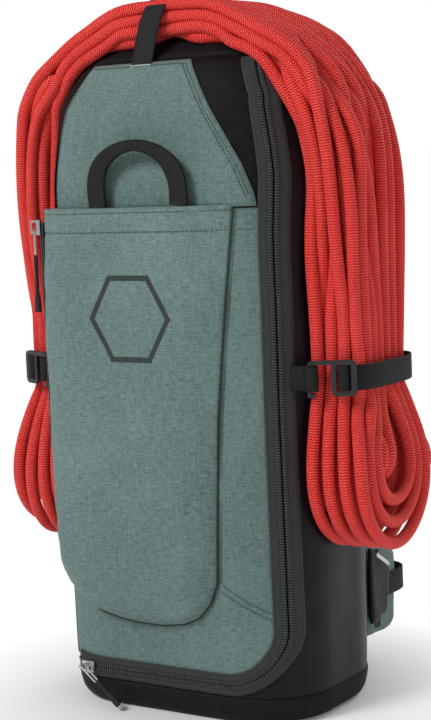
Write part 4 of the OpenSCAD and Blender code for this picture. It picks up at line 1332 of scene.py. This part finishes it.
# %% Pads
def box_uv(obj):
    """UV in millimetres, projected along each face's main direction."""
    mesh = obj.data
    layer = mesh.uv_layers.get("UVMap") or mesh.uv_layers.new(name="UVMap")
    co = np.empty(len(mesh.vertices) * 3)
    mesh.vertices.foreach_get("co", co)
    co = co.reshape(-1, 3) * 1000
    nr = np.empty(len(mesh.polygons) * 3)
    mesh.polygons.foreach_get("normal", nr)
    axis = np.abs(nr.reshape(-1, 3)).argmax(1)
    total = np.empty(len(mesh.polygons), np.int32)
    mesh.polygons.foreach_get("loop_total", total)
    vi = np.empty(len(mesh.loops), np.int32)
    mesh.loops.foreach_get("vertex_index", vi)
    ax = np.repeat(axis, total)
    pick = np.array([(1, 2), (0, 2), (0, 1)])[ax]
    uv = np.take_along_axis(co[vi], pick, 1)
    layer.data.foreach_set("uv", uv.astype(np.float32).ravel())


def pad_from(node, name, key, body, slot_name, voxel=0.0032, rounds=9):
    """A soft pad grown from a CAD node's solid."""
    src = bpy.data.objects.new(name + "_src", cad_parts[node].data.copy())
    scene.collection.objects.link(src)
    re = src.modifiers.new("remesh", "REMESH")
    re.mode, re.voxel_size = "VOXEL", voxel
    sm = src.modifiers.new("smooth", "SMOOTH")
    sm.factor, sm.iterations = 0.5, rounds
    bpy.context.view_layer.update()
    made = bpy.data.meshes.new_from_object(src.evaluated_get(bpy.context.evaluated_depsgraph_get()))
    bpy.data.objects.remove(src)
    obj = bpy.data.objects.new(name, made)
    scene.collection.objects.link(obj)
    co = np.empty(len(made.vertices) * 3)
    made.vertices.foreach_get("co", co)
    co = co.reshape(-1, 3)
    nr = np.array([v.normal[:] for v in made.vertices])
    uneven = waves(co[:, 1] * 1000 + co[:, 0] * 1000, co[:, 2] * 1000, 46.0, len(node))
    co += nr * (0.0006 * (1 + uneven))[:, None]
    made.vertices.foreach_set("co", co.ravel())
    made.polygons.foreach_set("use_smooth", np.ones(len(made.polygons), bool))
    made.update()
    box_uv(obj)
    dress(obj, key, body, slot_name, node)
    return obj


for tag in ("right", "left"):
    pad_from("back_pad_" + tag, "back_pad_soft_" + tag, "mesh", "pack", "padding")
    pad_from("shoulder_strap_" + tag, "shoulder_pad_" + tag, "mesh", "harness", "padding")
    wing = tag + "_wing"
    pad_from("hip_wing_" + tag, "hip_wing_soft_" + tag, "ripstop", wing, "ripstop_dark", 0.0026, 7)
    pad_from("wing_cover_" + tag, "wing_cover_soft_" + tag, "coated", wing, "coated_black", 0.0022, 4)
pad_from("harness_yoke", "harness_yoke_soft", "mesh", "pack", "padding")
print("padding made")

# %% [markdown]
# ## Seams, stitches and small soft parts
# Stitches are separate threads, so they are small bricks stamped along the seam lines. Corded seams are
# thin tubes. The door's hinge side has no hardware at all: on the bag the cloth itself bends, and here
# one strip of cloth lies along it.


# %% Hinge strip and joints of cloth
uh, zh = np.linspace(-127.5, -112.5, 9), np.concatenate([np.arange(34, 516, 6.0), [518]])
UH, ZH = np.meshgrid(uh, zh)
hinge_cloth = patch("hinge_cloth", UH, ZH, 1.0 + 0.25 * np.cos((UH + 120) / 2.4), 0.8)
hinge_cloth.data.materials.clear()
for key in ("ripstop", "matte_black"):
    hinge_cloth.data.materials.append(M[key])
above = [p.center.z > 0.4055 for p in hinge_cloth.data.polygons]
hinge_cloth.data.polygons.foreach_set("material_index", np.array(above, np.int32))
ends = tube(np.array([-124.0, -116.5]), np.array([270.0, 270.0]), 1.0) / 1000
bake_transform(hinge_cloth)

for side, tag in ((1, "right"), (-1, "left")):
    path = [(54 * side, 91.0, 455.5), (54 * side, 95.8, 456.6), (54 * side, 100.5, 453), (54 * side, 103.6, 445),
            (54 * side, 106.4, 434)]
    root = strap("shoulder_root_" + tag, path, (1, 0, 0), 44.0, 1.4, 1.4)
    root.data.materials.clear()
    root.data.materials.append(M["matte_black"])
    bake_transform(root)
    path = [(82.5 * side, 76.5, 74), (87.5 * side, 77.5, 74), (93 * side, 81.5, 74), (96.8 * side, 88, 74),
            (98.2 * side, 98, 74)]
    root = strap("wing_root_" + tag, path, UPRIGHT, 68.0, 1.4, 1.4)
    root.data.materials.clear()
    root.data.materials.append(M["coated"])
    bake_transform(root)


# %% Corded seams
def cord_on_tube(name, places, off, radius, key, body, slot_name):
    """A corded seam along a line of (place, height)."""
    q = np.asarray(places, float)
    obj = tube_mesh(name, smooth_line(tube(q[:, 0], q[:, 1], off), 3.0), radius, sides=7)
    dress(obj, key, body, slot_name)


seam_line = line_of(SEAM[::-1])
bottom_line = bottom[::-1]
cord_on_tube("pocket_seam_cord", np.concatenate([seam_line[:-1], bottom_line]), 1.75, 0.75, "piping", "door",
             "ripstop")
for side, tag in ((1, "right"), (-1, "left")):
    for u in (246.5, 263.5):
        cord_on_tube("rear_seam_%s_%d" % (tag, u), [(side * u, z) for z in np.arange(21, 452, 8.0)], 0.7, 1.1,
                     "matte_black", "pack", "coated_black")
run = [(u, 452) for u in np.arange(118, 702 - 122, 8.0)]
cord_on_tube("crown_seam", [(float(wrap_u(u)), z) for u, z in run], 0.6, 1.2, "matte_black", "pack",
             "matte_black")


def edge_cord(name, path, radius, key, body, slot_name):
    """A corded edge along a line in space."""
    obj = tube_mesh(name, smooth_line(path, 4.0), radius, sides=7)
    dress(obj, key, body, slot_name)


for side, tag in ((1, "right"), (-1, "left")):
    loop = []
    for k in range(41):
        a = math.tau * k / 40
        cx, cz = math.copysign(1, math.cos(a)), math.copysign(1, math.sin(a))
        loop.append((side * 40 + cx * 7.5 + 21.3 * math.cos(a), 87.5, 250 + cz * 148 + 21.3 * math.sin(a)))
    edge_cord("back_pad_edge_" + tag, loop, 1.3, "matte_black", "pack", "padding")
    for dx in (-25.6, 25.6):
        arc = [(side * 54 + dx, -204 + 335.2 * math.cos(a), 312 + 335.2 * math.sin(a))
               for a in np.radians(np.linspace(-23.6, 23.8, 30))]
        edge_cord("shoulder_edge_%s_%d" % (tag, dx > 0), arc, 1.5, "matte_black", "harness", "padding")
    line_w = [(104.0 * side, 86, 106), (104.0 * side, 97, 99.5), (104.0 * side, 107.5, 93)]
    shine = strap("reflective_line_" + tag, line_w, (0, 0.5, 0.86), 3.4, 0.5)
    dress(shine, "reflective", tag + "_wing", "label")


# %% Stitches
def stitch_on_tube(name, places, off, body, slot_name):
    """A row of stitches along a line of (place, height)."""
    pts, along, out = surface_line(places, off, 3.4)
    obj = stamp(name, pts, along, out, (2.5, 0.5, 0.4), "thread", square=True)
    dress(obj, "thread", body, slot_name)


def shifted(points, dx, dz):
    """The same line beside itself."""
    return [(x + dx, z + dz) for x, z in points]


for k, (dx, dz) in enumerate(((-3.4, -2.0), (-5.6, -3.4))):
    stitch_on_tube("flap_stitch_right_%d" % k, line_of(shifted(FLAP_RIGHT[1:], dx, dz)), 3.15, "door", "ripstop")
stitch_on_tube("flap_stitch_left", line_of(shifted(FLAP_LEFT[:-1], 3.6, -1.0)), 3.1, "door", "ripstop")
stitch_on_tube("flap_stitch_top", line_of([(-57, 516.5), (32, 516.5)]), 3.1, "door", "ripstop")
for k, z in enumerate((404.6, 389.6)):
    us_h = np.arange(-100, place_of(SEAM[-1][0] - 2.4 * k, z) - 2, 3.4)
    offs = np.array([pocket_lift(u, z) for u in us_h]) + (0.15 if k == 0 else 0.5)
    pts = tube(us_h, np.full_like(us_h, z), offs)
    along = np.gradient(pts, axis=0)
    along /= np.linalg.norm(along, axis=1)[:, None]
    out = tube(us_h, np.full_like(us_h, z), offs + 1) - pts
    hem_row = stamp("pocket_hem_%d" % k, pts, along, out, (2.5, 0.5, 0.4), "thread", square=True)
    dress(hem_row, "thread", "door", "ripstop")
stitch_on_tube("gusset_hem", line_of([(80.5, 389.6), (93.5, 389.6)]), 0.2, "door", "ripstop")
for k, d in enumerate((0.0, 4.6)):
    stitch_on_tube("corner_stitch_%d" % k, line_of([(55 + d * 0.5, 107 + d), (97 + d * 0.1, 84 + d)]), 0.35, "door",
                   "ripstop")
seam_side = np.array([(x + 2.8, z) for x, z in SEAM[::-1]])
stitch_on_tube("pocket_seam_stitch", line_of(seam_side), 0.35, "door", "ripstop")
for x in (-39.5, 37.6):
    zs_s = np.arange(411.5, 432, 3.2)
    p = np.stack([np.full_like(zs_s, x), np.full_like(zs_s, -92.9), zs_s], -1)
    p[:, 1] = np.interp(zs_s, [411, 421, 433], [-92.5, -92.9, -93.5])
    leg = stamp("handle_stitch_%d" % (x > 0), p, np.tile([0, 0, 1.0], (len(p), 1)),
                np.tile([0, -1.0, 0], (len(p), 1)), (2.3, 0.6, 0.4), "thread_dark", square=True)
    dress(leg, "thread_dark", "handle", "webbing")

# %% Inner rail and sternum strap
rail = [(-60, 70.6, 465)]
for i in range(-2, 3):
    rail += [(23 * i - 9.4, 70.6, 465), (23 * i - 6.5, 66.4, 465), (23 * i, 63.6, 465), (23 * i + 6.5, 66.4, 465),
             (23 * i + 9.4, 70.6, 465)]
rail += [(60, 70.6, 465)]
rail_web = strap("gear_rail_web", rail, UPRIGHT, 19.6, 1.5, 2.2)
dress(rail_web, "webbing", "pack", "webbing", "gear_rail")


def cut_copy(node, name, at, outwards):
    """A copy of a CAD node with everything past a plane taken off and the cut closed."""
    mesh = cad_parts[node].data.copy()
    bm = bmesh.new()
    bm.from_mesh(mesh)
    geom = bm.verts[:] + bm.edges[:] + bm.faces[:]
    cut = bmesh.ops.bisect_plane(bm, geom=geom, plane_co=at, plane_no=outwards, clear_outer=True)["geom_cut"]
    bmesh.ops.holes_fill(bm, edges=[e for e in cut if isinstance(e, bmesh.types.BMEdge)])
    bm.to_mesh(mesh)
    bm.free()
    obj = bpy.data.objects.new(name, mesh)
    scene.collection.objects.link(obj)
    return obj


for side, tag, inner_x in ((1, "right", 11.6), (-1, "left", 23.6)):
    clip = cut_copy("sternum_strap_" + tag, "sternum_buckle_" + tag, (side * (inner_x + 0.6) / 1000, 0, 0),
                    (side, 0, 0))
    dress(clip, "moulded", "harness", "moulded")
    web = strap("sternum_web_" + tag, [(side * inner_x, 131.9, 380), (side * 30, 132.2, 380), (side * 60, 132.0, 380),
                                       (side * 77, 131.4, 380)], UPRIGHT, 14.8, 1.4)
    dress(web, "webbing", "harness", "webbing", "sternum_strap_" + tag)
print("seams, stitches and trim made")

# %% [markdown]
# ## Joining the looks to the frame
# The rope is one cord with its real length and path, put on the pack's body, and stands for the five plain
# solids that hold its place in the CAD model.

# %% Dressing the rope
dress(rope_obj, "rope", "pack", "rope", "rope_arch", "rope_run_right", "rope_run_left", "rope_loops_right",
      "rope_loops_left")
